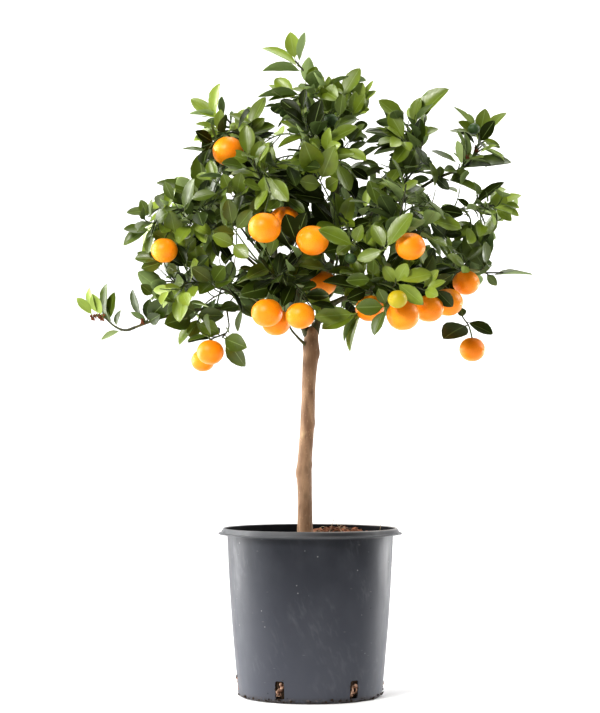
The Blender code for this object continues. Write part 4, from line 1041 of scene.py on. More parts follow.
def all_limbs():
    """Every limb's path by the name of what it carries; the trunk carries the two leaders."""
    trunk = Twig([Vector((x, 0, z)) for z, x, _ in TRUNK], [r for _, _, r in TRUNK])
    limbs = {"trunk": trunk}
    for mass in MASSES:
        limbs[mass.name] = bough_path(mass.bough, limbs)
    return limbs


# Space

def cell_slack(points, number):
    """How far inside a mass's own cell the points lie: a cell's walls are the planes halfway
    between it and its neighbours, moved towards the smaller one."""
    powers = ((points[:, None] - CENTRES) ** 2).sum(2) - CELL_SIZES ** 2
    others = np.arange(len(MASSES)) != number
    apart = np.linalg.norm(CENTRES[others] - CENTRES[number], axis=1)
    return ((powers[:, others] - powers[:, number, None]) / (2 * apart)).min()


def in_reach(points, mass):
    """Whether points lie in the mass's ellipsoid, widened by the reach of its outer leaves."""
    offsets = (points - np.array(mass.centre)) / (np.array(mass.radii) + TIP_REACH)
    return ((offsets ** 2).sum(1) < 1.0).all()


def rods_of(paths):
    """Rows of (start, end, radius) for every stretch of every limb or twig."""
    return [(a, b, r) for path in paths for a, b, r in zip(path.points, path.points[1:], path.radii)]


def fruit_rows():
    """Rows of (start, end, radius) for every orange, and for the clear view of it from its side."""
    rows = []
    for mass in MASSES:
        for x, y, z, diameter in mass.fruits:
            centre = Vector((x, y, z))
            side = Vector((0, -1 if y < 0 else 1, 0))
            radius = diameter / 2
            rows.append((centre, centre, radius))
            share = COVERED.get((x, z), FRUIT_VIEW_SHARE)
            if share:
                rows.append((centre, centre + side * FRUIT_VIEW_LENGTH, radius * share))
    return rows


def photo_place(column, row, depth):
    """The place at a depth behind the trunk that the photo shows at a pixel."""
    eye = Vector(CAMERA_PLACE)
    away = (depth - eye.y) / FOCAL_PIXELS
    return Vector((eye.x + (column - PHOTO_WIDTH / 2) * away, depth, eye.z + (HORIZON_ROW - row) * away))


def photo_pixels(points):
    """The pixels of the photo where points lie."""
    x, y, z = (points - np.array(CAMERA_PLACE)).T
    return PHOTO_WIDTH / 2 + x / y * FOCAL_PIXELS, HORIZON_ROW - z / y * FOCAL_PIXELS


def in_outline(points):
    """Whether points lie in the crown's outline: a level ray from each crosses it an odd time."""
    columns, rows = photo_pixels(points)
    starts = np.array(OUTLINE, float)
    ends = np.roll(starts, -1, 0)
    crossed = (starts[:, 1] > rows[:, None]) != (ends[:, 1] > rows[:, None])
    slopes = (ends[:, 0] - starts[:, 0]) / (ends[:, 1] - starts[:, 1])
    at = starts[:, 0] + (rows[:, None] - starts[:, 1]) * slopes
    return ((crossed & (columns[:, None] < at)).sum(1) % 2 == 1).all()


def in_sky(points):
    places = np.stack(photo_pixels(points), 1)
    gaps = np.array(SKY_GAPS, float)
    return (((places[:, None] - gaps[:, :2]) ** 2).sum(2) < gaps[:, 2] ** 2).any()


class Rods:
    """Round-ended rods that leaves and twigs stay clear of."""

    def __init__(self, rows):
        self.starts = np.array([a for a, _, _ in rows], float)
        self.spans = np.array([b - a for a, b, _ in rows], float)
        self.radii = np.array([r for _, _, r in rows], float)
        self.middles = self.starts + self.spans / 2
        self.reach = np.linalg.norm(self.spans, axis=1) / 2 + self.radii

    def joined(self, rows):
        more = Rods(rows)
        for part in ("starts", "spans", "radii", "middles", "reach"):
            setattr(more, part, np.concatenate([getattr(self, part), getattr(more, part)]))
        return more

    def hit(self, points, clearance):
        heart = points.mean(0)
        spread = np.linalg.norm(points - heart, axis=1).max() + clearance
        near = ((self.middles - heart) ** 2).sum(1) < (self.reach + spread) ** 2
        if not near.any():
            return False
        spans = self.spans[near]
        offsets = points[:, None, :] - self.starts[near]
        squares = np.maximum((spans ** 2).sum(1), 1e-12)
        shares = np.clip((offsets * spans).sum(2) / squares, 0, 1)
        nearest = offsets - shares[:, :, None] * spans
        return bool(((nearest ** 2).sum(2) < (self.radii[near] + clearance) ** 2).any())


def blade_width(share):
    """The blade's width at a share of the whole leaf's length, its widest being about 1."""
    t = (share - LEAF_PETIOLE) / (1 - LEAF_PETIOLE)
    return math.sin(math.pi * t ** BLADE_LEAN) ** BLADE_ROUNDNESS if 0 < t < 1 else 0.0


SAMPLE_WIDTHS = np.array([blade_width(share) for share in SAMPLE_SHARES])


def leaf_frame(leaf):
    along = leaf.along.normalized()
    side = leaf.face.cross(along).normalized()
    return along, side, along.cross(side)


def leaf_samples(leaf):
    """A grid of points over the leaf's blade, from past its stalk to its tip."""
    along, side, up = (np.array(v) for v in leaf_frame(leaf))
    sag = up * (-MEAN_DROOP * leaf.length)
    spine = np.array(leaf.base) + np.outer(SAMPLE_SHARES, along * leaf.length)
    spine += np.outer(SAMPLE_SHARES ** 2, sag)
    aside = np.outer(SAMPLE_WIDTHS, side * (leaf.width / 2))
    return np.concatenate([spine - aside, spine, spine + aside])


class Room:
    """What is taken already: limbs and twigs, oranges with the view of them, and leaves."""

    def __init__(self, limbs):
        self.wood = Rods(rods_of(limbs.values()))
        self.fruit = Rods(fruit_rows())
        self.hearts = np.empty((0, 3))
        self.blades = np.empty((0, 3 * LEAF_ROWS, 3))

    def state(self):
        return self.wood, self.hearts, self.blades

    def restore(self, state):
        self.wood, self.hearts, self.blades = state

    def clear_of_blades(self, points, gap):
        heart = points.mean(0)
        spread = np.linalg.norm(points - heart, axis=1).max() + LEAF_LENGTHS[1]
        near = ((self.hearts - heart) ** 2).sum(1) < spread ** 2
        blades = self.blades[near].reshape(-1, 3)
        if not len(blades):
            return True
        return ((points[:, None] - blades) ** 2).sum(2).min() > gap ** 2

    def open_to_twig(self, points, number):
        if cell_slack(points, number) < -CELL_OVERSTEP or self.fruit.hit(points, FRUIT_CLEARANCE):
            return False
        if not in_outline(points):
            return False
        return not self.wood.hit(points, WOOD_GAP) and self.clear_of_blades(points, TWIG_GAP)

    def open_to_leaf(self, leaf, mass):
        blade = leaf_samples(leaf)
        if not in_reach(blade[LEAF_ROWS - 1::LEAF_ROWS], mass) or not in_outline(blade) or in_sky(blade):
            return False
        if self.fruit.hit(blade, FRUIT_CLEARANCE):
            return False
        return not self.wood.hit(blade, TWIG_GAP) and self.clear_of_blades(blade, LEAF_GAP)

    def add_leaf(self, leaf):
        blade = leaf_samples(leaf)
        self.hearts = np.vstack([self.hearts, blade.mean(0)])
        self.blades = np.concatenate([self.blades, blade[None]])

    def add_twig(self, twig):
        self.wood = self.wood.joined(rods_of([twig]))


# Growth

def draws_of(mass, purpose=""):
    """A mass's own random draws for one purpose."""
    return random.Random(f"foliage_{mass.name}{purpose}")


def tone_of(mass, place, draw):
    """A spray's leaves share one green: lighter towards the top and the outside of the crown, for fresher
    growth and as painted light, and darker inside it as painted shade.
    """
    tone = TONE_BASE + (place.z - TONE_HEIGHT) * TONE_PER_METRE + FRESH_AND_LIT_MASSES.get(mass.name, 0.0)
    tone += (place.xy.length - TONE_RADIUS) * TONE_OUTWARD
    tone = min(0.999, max(0.0, draw.gauss(tone, TONE_SPREAD)))
    return list(LEAF_TONES)[int(tone * len(LEAF_TONES))]


def leaf_buds(shoot, draw, count, scale):
    """Places for leaves, from the shoot's tip back, turned round it by the golden angle."""
    length = path_length(shoot.points)
    turn = draw.uniform(0, math.tau)
    for i in range(count):
        back = TIP_SINK + i * LEAF_PITCH * (1 + PITCH_GAIN * i) * draw.uniform(*LEAF_PITCHES)
        if back > length * LEAFY_SHARE:
            return
        base, heading = along_path(shoot.points, 1 - back / length)
        turn += GOLDEN_TURN + draw.uniform(-LEAF_TURN_PLAY, LEAF_TURN_PLAY)
        spread = LEAF_SPREAD * (TIP_LEAF_SPREAD if i == 0 else draw.uniform(*LEAF_SPREADS))
        size = draw.uniform(*LEAF_LENGTHS) * scale * min(1.0, TIP_LEAF_SIZE + LEAF_SIZE_GAIN * i)
        width = size * draw.uniform(*LEAF_WIDTHS)
        lift = draw.uniform(*LEAF_LIFTS) + TOP_LIFT * min(1.0, max(0.0, (base.z - TOP_FROM) / TOP_OVER))
        roll = draw.uniform(-LEAF_ROLL, LEAF_ROLL)
        yield base, heading, turn, spread, size, width, lift, roll, draw.randrange(LEAF_SHAPES)


def outward(place):
    """How the light round the crown turns a leaf's face away from the trunk."""
    pulls = zip(place.xy, LEAF_OUTWARD, OUTWARD_REACH)
    return Vector((*(pull * max(-1.0, min(1.0, at / reach)) for at, pull, reach in pulls), 0))


def across_at(heading, angle):
    """A direction square to the heading, turned round it by an angle."""
    across = heading.orthogonal().normalized()
    across.rotate(Matrix.Rotation(angle, 3, heading))
    return across


def leaf_at(bud, further, scale, tone):
    """The bud's leaf, turned further round its shoot and scaled; its face looks up its shoot."""
    base, heading, turn, spread, size, width, lift, roll, shape = bud
    across = across_at(heading, turn + further)
    along = heading * math.cos(spread) + across * math.sin(spread)
    along = (along + Vector((0, 0, lift))).normalized()
    face = heading * LEAF_FACE[0] + Vector((0, 0, LEAF_FACE[1])) + across * LEAF_FACE[2] + outward(base)
    face.rotate(Matrix.Rotation(roll, 3, along))
    return Leaf(base, along, face, size * scale, width * scale, tone, shape)


def leaves_on(shoot, mass, room, draw, count, scale=1.0):
    """The leaves of one shoot that find room, each in the first way of growing that fits."""
    tone = tone_of(mass, shoot.points[-1], draw)
    found = []
    for bud in leaf_buds(shoot, draw, count, scale):
        for further, size in itertools.product(LEAF_TURNS, LEAF_SIZES):
            leaf = leaf_at(bud, further, size, tone)
            if room.open_to_leaf(leaf, mass):
                found.append(leaf)
                room.add_leaf(leaf)
                break
    return found


def shoot_path(stem, target, draw):
    """A shoot leaves the stem behind the point nearest its target and curves up to it."""
    shares = [i / STEM_SHARES for i in range(STEM_SHARES + 1)]
    nearest = min(shares, key=lambda share: (along_path(stem.points, share)[0] - target).length)
    lowest, highest = SHOOT_BASES
    base, heading = along_path(stem.points, min(highest, max(lowest, nearest - SHOOT_LAG)))
    span = (target - base).length
    aside = [draw.uniform(-SHOOT_WANDER, SHOOT_WANDER) for _ in range(2)]
    lift = Vector((*aside, SHOOT_LIFT))
    control = base + (heading * span + target - base) * SHOOT_HEADING + lift * span
    return narrowing(bezier(base, control, target, SHOOT_STEPS), SHOOT_RADIUS, SHOOT_RADIUS * SHOOT_TAPER)


def side_path(parent, share, draw):
    """A short twig that forks off its parent and bends up and outwards."""
    base, heading = along_path(parent.points, share)
    across = across_at(heading, draw.uniform(0, math.tau))
    length = draw.uniform(*SIDE_LENGTHS) + parent.radii[0]
    away = heading * SIDE_HEADING[0] + across * SIDE_HEADING[1] + Vector((0, 0, SIDE_HEADING[2]))
    away.normalize()
    control = base + (heading + across).normalized() * (SIDE_BEND * length)
    points = bezier(base, control, base + away * length, SIDE_STEPS)
    return narrowing(points, SIDE_RADIUS, SIDE_RADIUS * SHOOT_TAPER)


def shoot_targets(mass):
    """The named shoots first, then ends spread evenly through the mass's ellipsoid."""
    for target in mass.shoots:
        yield Vector(target)
    draw = draws_of(mass)
    turn = draw.uniform(0, math.tau)
    for i in range(SHOOT_TARGETS):
        step = i * TARGET_STRIDE % SHOOT_TARGETS
        height = 1 - 2 * (step + 0.5) / SHOOT_TARGETS
        ring = math.sqrt(1 - height * height)
        angle = turn + step * GOLDEN_TURN
        ray = Vector((ring * math.cos(angle), ring * math.sin(angle), height))
        ray *= draw.uniform(TARGET_DEPTH, 1.0)
        yield Vector(mass.centre) + Vector(r * s for r, s in zip(ray, mass.radii))


def stem_of(mass, bough):
    """The stem goes on from the bough's tip and bends to the lead."""
    tip = bough.points[-1]
    heading = (tip - bough.points[-2]).normalized()
    lead = Vector(mass.lead)
    first = tip + heading * STEM_LEAD_IN
    control = first + heading * (STEM_BEND * (lead - first).length)
    points = [tip - heading * STEM_LEAD_IN, *bezier(first, control, lead, STEM_STEPS)]
    radius = bough.radii[-1]
    return narrowing(points, radius, max(SIDE_RADIUS, radius * STEM_TAPER))


def fruit_stalk(fruit, twigs):
    """A stalk hangs from the nearest twig over the orange and runs into the orange's crown."""
    crown = Vector(fruit[:3]) + Vector((0, 0, fruit[3] / 2 * FRUIT_SQUASH))
    first, last = STALK_SHARES
    choices = []
    for twig in twigs:
        for i in range(first, last):
            point, _ = along_path(twig.points, i / last)
            low = max(0.0, crown.z + STALK_RISE - point.z)
            choices.append(((point - crown).length + 2 * low, point))
    base = min(choices, key=lambda row: row[0])[1]
    control = (base + crown) / 2 + Vector((0, 0, STALK_RISE))
    points = bezier(base, control, crown - Vector((0, 0, STALK_SINK)), STALK_STEPS)
    return Twig(points, [STALK_RADIUS] * len(points))


def free_way(twig, number, room, skipped):
    """Whether the twig is free past its first stretch, where it leaves its parent."""
    length = path_length(twig.points)
    start = min(LONGEST_SKIP, skipped / length)
    shares = [start + (1 - start) * i / WAY_STEPS for i in range(WAY_STEPS + 1)]
    return room.open_to_twig(np.array([along_path(twig.points, s)[0] for s in shares]), number)


def spray_shoot(spray, carriers):
    """The named spray's shoot: the limb or stem that ends there, or one that leaves the nearest."""
    end = photo_place(*spray.end, spray.depth)
    choices = []
    for carrier in carriers:
        if (carrier.points[-1] - end).length < SPRAY_SNAP:
            return carrier, False
        for i in range(1, CARRIER_SHARES + 1):
            base, heading = along_path(carrier.points, i / CARRIER_SHARES)
            away = end - base
            ahead = heading.dot(away.normalized())
            choices.append((away.length * (1 + SPRAY_TURN_COST * (1 - ahead)), ahead, base, heading))
    _, ahead, base, heading = min(choices, key=lambda row: row[0])
    control = base + heading * (SPRAY_BEND * max(SPRAY_STRAIGHTEST, ahead) * (end - base).length)
    points = bezier(base, control, end, SHOOT_STEPS)
    return narrowing(points, SHOOT_RADIUS, SHOOT_RADIUS * SHOOT_TAPER), True


def spray_leaves(spray, shoot, draw):
    """The named spray's leaves, from its shoot's end back, each with its tip where the photo has it."""
    length = path_length(shoot.points)
    for i, (column, row, breadth, *behind) in enumerate(spray.leaves):
        back = min(length * SPRAY_REACH, TIP_SINK + i * SPRAY_PITCH)
        base, _ = along_path(shoot.points, 1 - back / length)
        seen = SPRAY_FULLER * abs(breadth) * (base.y - CAMERA_PLACE[1]) / FOCAL_PIXELS
        shown = photo_place(column, row, base.y) - base
        nearer = math.sqrt(max(0.0, (seen / SPRAY_BROADEST) ** 2 - shown.length_squared))
        depth = base.y - nearer + (behind[0] / 1000 if behind else draw.uniform(*SPRAY_DEPTHS))
        reach = photo_place(column, row, depth) - base
        along = (reach + Vector((0, 0, MEAN_DROOP * reach.length))).normalized()
        width = max(SPRAY_NARROWEST, seen, reach.length * draw.uniform(*LEAF_WIDTHS))
        viewer = Vector((0, -1, 0))
        viewer = (viewer - along * viewer.dot(along)).normalized()
        upper = along.cross(viewer)
        if upper.dot(Vector(LIGHT_SIDE)) < 0:
            upper.negate()
        facing = seen / width
        face = viewer * math.copysign(facing, breadth) + upper * math.sqrt(1 - facing * facing)
        shape = draw.randrange(LEAF_SHAPES)
        yield Leaf(base, along, face, reach.length, width, "leaves_" + spray.tone, shape)


def leafed(twig, mass, room, draw, count, fewest, scale=1.0):
    """The twig's leaves, or none and the room as it was where too few find a place."""
    kept = room.state()
    found = leaves_on(twig, mass, room, draw, count, scale)
    if len(found) < fewest:
        room.restore(kept)
        return []
    room.add_twig(twig)
    return found


def side_twigs(parent, shares, mass, number, room, draw):
    """Short leafy twigs along a shoot or a bough, each on the first side that has room."""
    twigs, leaves = [], []
    for share in shares:
        for _ in range(SIDE_TRIES):
            side = side_path(parent, share, draw)
            if not free_way(side, number, room, SIDE_SKIP + SIDE_SKIP_RADII * parent.radii[0]):
                continue
            found = leafed(side, mass, room, draw, LEAVES_PER_SIDE, FEWEST_LEAVES[-1], SIDE_LEAF_SIZE)
            if found:
                twigs.append(side)
                leaves.extend(found)
                break
    return twigs, leaves


def grow(mass, number, limbs, room):
    """Stem, shoots, side twigs, stalks and leaves of one mass, inside its own space. Full shoots
    come first, and then sparser ones as far as the mass still lacks leaves."""
    wanted = round(mass.leaves * LEAF_SHARE)
    stem = stem_of(mass, limbs[mass.name])
    twigs = [stem]
    leaves = leaves_on(stem, mass, room, draws_of(mass, " lead"), LEAVES_PER_SHOOT)
    room.add_twig(stem)
    targets = list(enumerate(shoot_targets(mass)))
    grown = set()
    for fewest, (place, target) in itertools.product(FEWEST_LEAVES, targets):
        if place in grown or len(leaves) >= wanted:
            continue
        draw = draws_of(mass, f" {place}")
        shoot = shoot_path(stem, target, draw)
        if not free_way(shoot, number, room, SHOOT_SKIP):
            continue
        found = leafed(shoot, mass, room, draw, LEAVES_PER_SHOOT, fewest)
        if found:
            grown.add(place)
            more_twigs, more = side_twigs(shoot, SIDE_SHARES, mass, number, room, draw)
            twigs += [shoot] + more_twigs
            leaves += found + more
    stalks = [fruit_stalk(fruit, twigs) for fruit in mass.fruits]
    return twigs, stalks, leaves


def spurs(mass, number, bough, room):
    """Short leafy twigs along the outer part of a mass's bough."""
    draw = draws_of(mass, " spurs")
    count = int(path_length(bough.points) * (1 - SPUR_FROM) / SPUR_PITCH)
    shares = [SPUR_FROM + (1 - SPUR_FROM) * (i + draw.uniform(*SPUR_PLACES)) / count for i in range(count)]
    wide = mass._replace(radii=tuple(r + SPUR_REACH for r in mass.radii))
    return side_twigs(bough, shares, wide, number, room, draw)


# Wood as meshes

def resampled(points, radii, pitch):
    """Points and radii at an even pitch along a path, with the lengths from its start."""
    places = np.array(points, float)
    lengths = np.concatenate([[0], np.cumsum(np.linalg.norm(np.diff(places, axis=0), axis=1))])
    at = np.linspace(0, lengths[-1], max(4, round(lengths[-1] / pitch) + 1))
    columns = [np.interp(at, lengths, places[:, k]) for k in range(3)]
    return np.stack(columns, 1), np.interp(at, lengths, radii), at


def smoothed(values, rounds):
    """The values with their corners rounded off, and their ends kept."""
    for _ in range(rounds):
        inner = (values[:-2] + 2 * values[1:-1] + values[2:]) / 4
        values = np.concatenate([values[:1], inner, values[-1:]])
    return values


def sections(points):
    """Two directions across a path at each of its points, carried along it without twist."""
    tangents = np.gradient(points, axis=0)
    tangents /= np.linalg.norm(tangents, axis=1)[:, None]
    first = np.cross(tangents[0], (0.0, 1.0, 0.0))
    if np.linalg.norm(first) < 0.1:
        first = np.cross(tangents[0], (1.0, 0.0, 0.0))
    for tangent in tangents:
        first = first - tangent * first.dot(tangent)
        first /= np.linalg.norm(first)
        yield first, np.cross(tangent, first)


def marked(centre, out, radius, marks):
    """How far the knots and scars near a spot of bark stand out, and how pale they make it."""
    stand, paleness = 0.0, 0.0
    front = math.atan2(out[0], -out[1])
    for height, turn, rise, tall, wide, pale in marks:
        if abs(centre[2] - height) < 3 * tall:
            off = (front - turn + math.pi) % math.tau - math.pi
            near = math.exp(-((centre[2] - height) / tall) ** 2 - (off * radius / wide) ** 2)
            stand += rise * near
            paleness += pale * near
    return stand, paleness


def bark_shell(points, radii, lengths, sides, relief, seed, marks=()):
    """Corners, faces and marks of one limb with the relief of its bark."""
    corners, tones = [], []
    (across, along), (finer, closer) = BROAD_BARK, FINE_BARK
    for centre, radius, at, (u, v) in zip(points, radii, lengths, sections(points)):
        for k in range(sides):
            x, y = math.cos(math.tau * k / sides), math.sin(math.tau * k / sides)
            out = u * x + v * y
            broad = noise.noise(Vector((x * across + seed, y * across, at * along)))
            fine = noise.noise(Vector((x * finer, y * finer + seed, at * closer)))
            stand, paleness = marked(centre, out, radius, marks)
            swell = 1 + relief * (broad + FINE_BARK_SHARE * fine)
            corners.append(centre + out * (radius * swell + stand))
            tones.append(paleness)
    faces = []
    rows = len(points)
    for i, k in itertools.product(range(rows - 1), range(sides)):
        a, b = i * sides + k, i * sides + (k + 1) % sides
        faces.append((a, b, b + sides, a + sides))
    faces.append(tuple(reversed(range(sides))))
    faces.append(tuple((rows - 1) * sides + k for k in range(sides)))
    return corners, faces, tones


def wood_piece(name, shells, surface):
    """One piece from the shells of several limbs, shaded smooth."""
    corners, faces, tones = [], [], []
    for shell_corners, shell_faces, shell_tones in shells:
        first = len(corners)
        corners.extend(tuple(c) for c in shell_corners)
        faces.extend(tuple(first + i for i in face) for face in shell_faces)
        tones.extend(shell_tones)
    mesh = bpy.data.meshes.new(name)
    mesh.from_pydata(corners, [], faces)
    mesh.attributes.new("mark", "FLOAT", "POINT").data.foreach_set("value", tones)
    turn_outwards(mesh)
    shade_round(mesh, math.radians(60))
    return mesh_object(name, mesh, surface)


def turn_outwards(mesh):
    shape = bmesh.new()
    shape.from_mesh(mesh)
    bmesh.ops.recalc_face_normals(shape, faces=shape.faces)
    shape.to_mesh(mesh)
    shape.free()


def trunk_shell():
    """The trunk from just under the soil to a domed top inside the fork."""
    height, offset, radius = TRUNK[0]
    foot = (height - TRUNK_SINK, offset, radius + TRUNK_FLARE)
    height, offset, radius = TRUNK[-1]
    dome = [
        (height + TRUNK_DOME * math.sin(a), offset, radius * math.cos(a))
        for a in np.linspace(0, DOME_END, DOME_STEPS + 1)[1:]
    ]
    rows = np.array([foot, *TRUNK, *dome])
    places = np.stack([rows[:, 1], np.zeros(len(rows)), rows[:, 0]], 1)
    points, radii, lengths = resampled(places, rows[:, 2], TRUNK_PITCH)
    points[:, 0] = smoothed(points[:, 0], OFFSET_ROUNDS)
    radii = smoothed(radii, RADIUS_ROUNDS)
    return bark_shell(points, radii, lengths, TRUNK_SIDES, TRUNK_RELIEF, 3.0, TRUNK_MARKS)


def bough_shell(number, limb, inside):
    """A bough with a collar where it leaves its parent, knots, and a slight wander."""
    points, radii, lengths = resampled(limb.points, limb.radii, BOUGH_PITCH)
    ease = np.maximum(0, np.sin(np.pi * lengths / lengths[-1])) ** SWAY_EASE
    for k in range(3):
        sway = np.array([noise.noise(Vector((at * SWAY_SCALE, number * 7.1, k * 3.3))) for at in lengths])
        points[:, k] += BOUGH_WANDER * ease * sway
    collar = COLLAR * np.exp(-np.maximum(0, lengths - inside) / COLLAR_LENGTH)
    knots = [max(0.0, noise.noise(Vector((at * KNOT_SCALE, number * 3.7, 0.5)))) for at in lengths]
    swell = BOUGH_SLIM + collar + BOUGH_KNOTS * np.array(knots)
    return bark_shell(points, radii * swell, lengths, BOUGH_SIDES, BOUGH_RELIEF, number * 1.7)


def trunk_and_boughs(limbs, trunk_bark, bough_bark):
    trunk = wood_piece("trunk_bark", [trunk_shell()], trunk_bark)
    shells = [
        bough_shell(number, limbs[mass.name], limbs[mass.bough.parent].radii[0])
        for number, mass in enumerate(MASSES)
    ]
    boughs = wood_piece("bough_bark", shells, bough_bark)
    hand_in(trunk, "bark", "trunk")
    hand_in(boughs, "green_bark", *BOUGHS)


# Pieces made by Geometry Nodes

class Growth:
    """A Geometry Nodes tree with named inputs, whose nodes and links are told by short names."""

    def __init__(self, name, **sockets):
        self.tree = bpy.data.node_groups.new(name, "GeometryNodeTree")
        for label, kind in {"Geometry": "Geometry", **sockets}.items():
            self.tree.interface.new_socket(label, in_out="INPUT", socket_type="NodeSocket" + kind)
        self.tree.interface.new_socket("Geometry", in_out="OUTPUT", socket_type="NodeSocketGeometry")
        self.nodes = {}
        self.add(start="NodeGroupInput", end="NodeGroupOutput")

    def add(self, **kinds):
        for label, kind in kinds.items():
            self.nodes[label] = self.tree.nodes.new(kind if "Node" in kind else "GeometryNode" + kind)

    def read(self, **attributes):
        """One node for each attribute that the mesh carries, under the attribute's own name."""
        for name, kind in attributes.items():
            self.add(**{name: "InputNamedAttribute"})
            self.nodes[name].data_type = kind
            self.nodes[name].inputs["Name"].default_value = name

    def join(self, *links):
        """Links from one node's socket to another's; a number stands for a socket's place."""
        for link in links:
            (first, output), (last, socket) = (side.split(".") for side in link.split(" > "))
            goal = self.nodes[last].inputs[int(socket) if socket.isdigit() else socket]
            self.tree.links.new(self.nodes[first].outputs[output], goal)
        return self.tree

    def put_shapes(self):
        """The collection's shapes on points, one picked for each, made real and given the surface."""
        self.add(shapes="CollectionInfo", turned="FunctionNodeEulerToRotation",
                 copies="InstanceOnPoints", real="RealizeInstances", paint="SetMaterial")
        self.nodes["shapes"].inputs["Separate Children"].default_value = True
        self.nodes["copies"].inputs["Pick Instance"].default_value = True
        self.join("start.Shapes > shapes.Collection", "shapes.Instances > copies.Instance",
                  "turned.Rotation > copies.Rotation", "copies.Instances > real.Geometry",
                  "real.Geometry > paint.Geometry", "start.Surface > paint.Material")


def tube_tree():
    """Paths with a girth at each point become round, capped, smooth tubes."""
    grown = Growth("tubes_on_paths", Sides="Int", Surface="Material")
    grown.read(girth="FLOAT")
    grown.add(curve="MeshToCurve", ring="CurvePrimitiveCircle", tube="CurveToMesh",
              smooth="SetShadeSmooth", real="RealizeInstances", paint="SetMaterial")
    grown.nodes["tube"].inputs["Fill Caps"].default_value = True
    return grown.join(
        "start.Geometry > curve.Mesh", "start.Sides > ring.Resolution", "curve.Curve > tube.Curve",
        "ring.Curve > tube.Profile Curve", "girth.Attribute > tube.Scale", "tube.Mesh > smooth.Geometry",
        "smooth.Geometry > real.Geometry", "real.Geometry > paint.Geometry",
        "start.Surface > paint.Material", "paint.Geometry > end.Geometry",
    )


def copies_tree():
    """Copies of a collection's shapes on points, each with its own turn, size and shape number."""
    grown = Growth("shapes_on_points", Shapes="Collection", Surface="Material", Underside="Material")
    grown.read(shape="INT", turn="FLOAT_VECTOR", size="FLOAT_VECTOR", underside="BOOLEAN")
    grown.put_shapes()
    grown.add(under="SetMaterial")
    return grown.join(
        "start.Geometry > copies.Points", "shape.Attribute > copies.Instance Index",
        "turn.Attribute > turned.Euler", "size.Attribute > copies.Scale",
        "paint.Geometry > under.Geometry", "underside.Attribute > under.Selection",
        "start.Underside > under.Material", "under.Geometry > end.Geometry",
    )


def scatter_tree():
    """Shapes strewn over a surface where its attribute share says, with random turns and sizes."""
    grown = Growth("shapes_strewn", Shapes="Collection", Surface="Material", Density="Float",
                   Seed="Int", Smallest="Vector", Largest="Vector", Tilt="Vector")
    grown.read(share="FLOAT")
    grown.put_shapes()
    grown.add(points="DistributePointsOnFaces", dense="ShaderNodeMath",
              opposite="ShaderNodeVectorMath", turn="FunctionNodeRandomValue",
              size="FunctionNodeRandomValue")
    grown.nodes["turn"].data_type = grown.nodes["size"].data_type = "FLOAT_VECTOR"
    grown.nodes["dense"].operation = "MULTIPLY"
    grown.nodes["opposite"].operation = "SCALE"
    grown.nodes["opposite"].inputs["Scale"].default_value = -1.0
    return grown.join(
        "start.Geometry > points.Mesh", "start.Density > dense.0", "share.Attribute > dense.1",
        "dense.Value > points.Density", "start.Seed > points.Seed", "start.Tilt > opposite.0",
        "opposite.Vector > turn.Min", "start.Tilt > turn.Max", "start.Smallest > size.Min",
        "start.Largest > size.Max", "start.Seed > turn.Seed", "start.Seed > size.Seed",
        "points.Points > copies.Points", "turn.Value > turned.Euler", "size.Value > copies.Scale",
        "paint.Geometry > end.Geometry",
    )


def through_tree(name, base, tree, values):
    """The piece that a tree makes of a base mesh, as a plain mesh without the tree's attributes."""
    guide = mesh_object(name + "_guide", base)
    growth = guide.modifiers.new("growth", "NODES")
    growth.node_group = tree
    for item in tree.interface.items_tree:
        if item.in_out == "INPUT" and item.name in values:
            growth[item.identifier] = values[item.name]
    mesh = evaluated_mesh(guide)
    mesh.name = name
    bpy.data.objects.remove(guide)
    for label in ("girth", "turn", "size", "shape", "share", "underside"):
        if label in mesh.attributes:
            mesh.attributes.remove(mesh.attributes[label])
    return mesh_object(name, mesh)


def tubes(name, twigs, tree, surface, sides=TWIG_SIDES, pitch=TWIG_PITCH):
    """All twigs of one kind as one piece."""
    places, edges, girths = [], [], []
    for twig in twigs:
        points, radii, _ = resampled(twig.points, twig.radii, pitch)
        first = len(places)
        places.extend(tuple(p) for p in points)
        girths.extend(radii)
        edges.extend((first + i, first + i + 1) for i in range(len(points) - 1))
    base = bpy.data.meshes.new(name)
    base.from_pydata(places, edges, [])
    base.attributes.new("girth", "FLOAT", "POINT").data.foreach_set("value", girths)
    return through_tree(name, base, tree, {"Sides": sides, "Surface": surface})


def copies(name, rows, shapes, tree, surface, underside=None):
    """One piece from rows of (place, turn, size, shape number)."""
    base = bpy.data.meshes.new(name)
    base.from_pydata([tuple(place) for place, _, _, _ in rows], [], [])
    for label, column in (("turn", 1), ("size", 2)):
        values = np.array([tuple(row[column]) for row in rows], np.float32).ravel()
        base.attributes.new(label, "FLOAT_VECTOR", "POINT").data.foreach_set("vector", values)
    base.attributes.new("shape", "INT", "POINT").data.foreach_set("value", [row[3] for row in rows])
    values = {"Shapes": shapes, "Surface": surface, "Underside": underside or surface}
    return through_tree(name, base, tree, values)


def shape_collection(name, meshes):
    """A collection of shapes that are only copied and never shown themselves."""
    made = bpy.data.collections.new(name)
    for i, mesh in enumerate(meshes):
        made.objects.link(bpy.data.objects.new(f"{name}_{i}", mesh))
    return made


# Leaves, calyxes and withered flowers

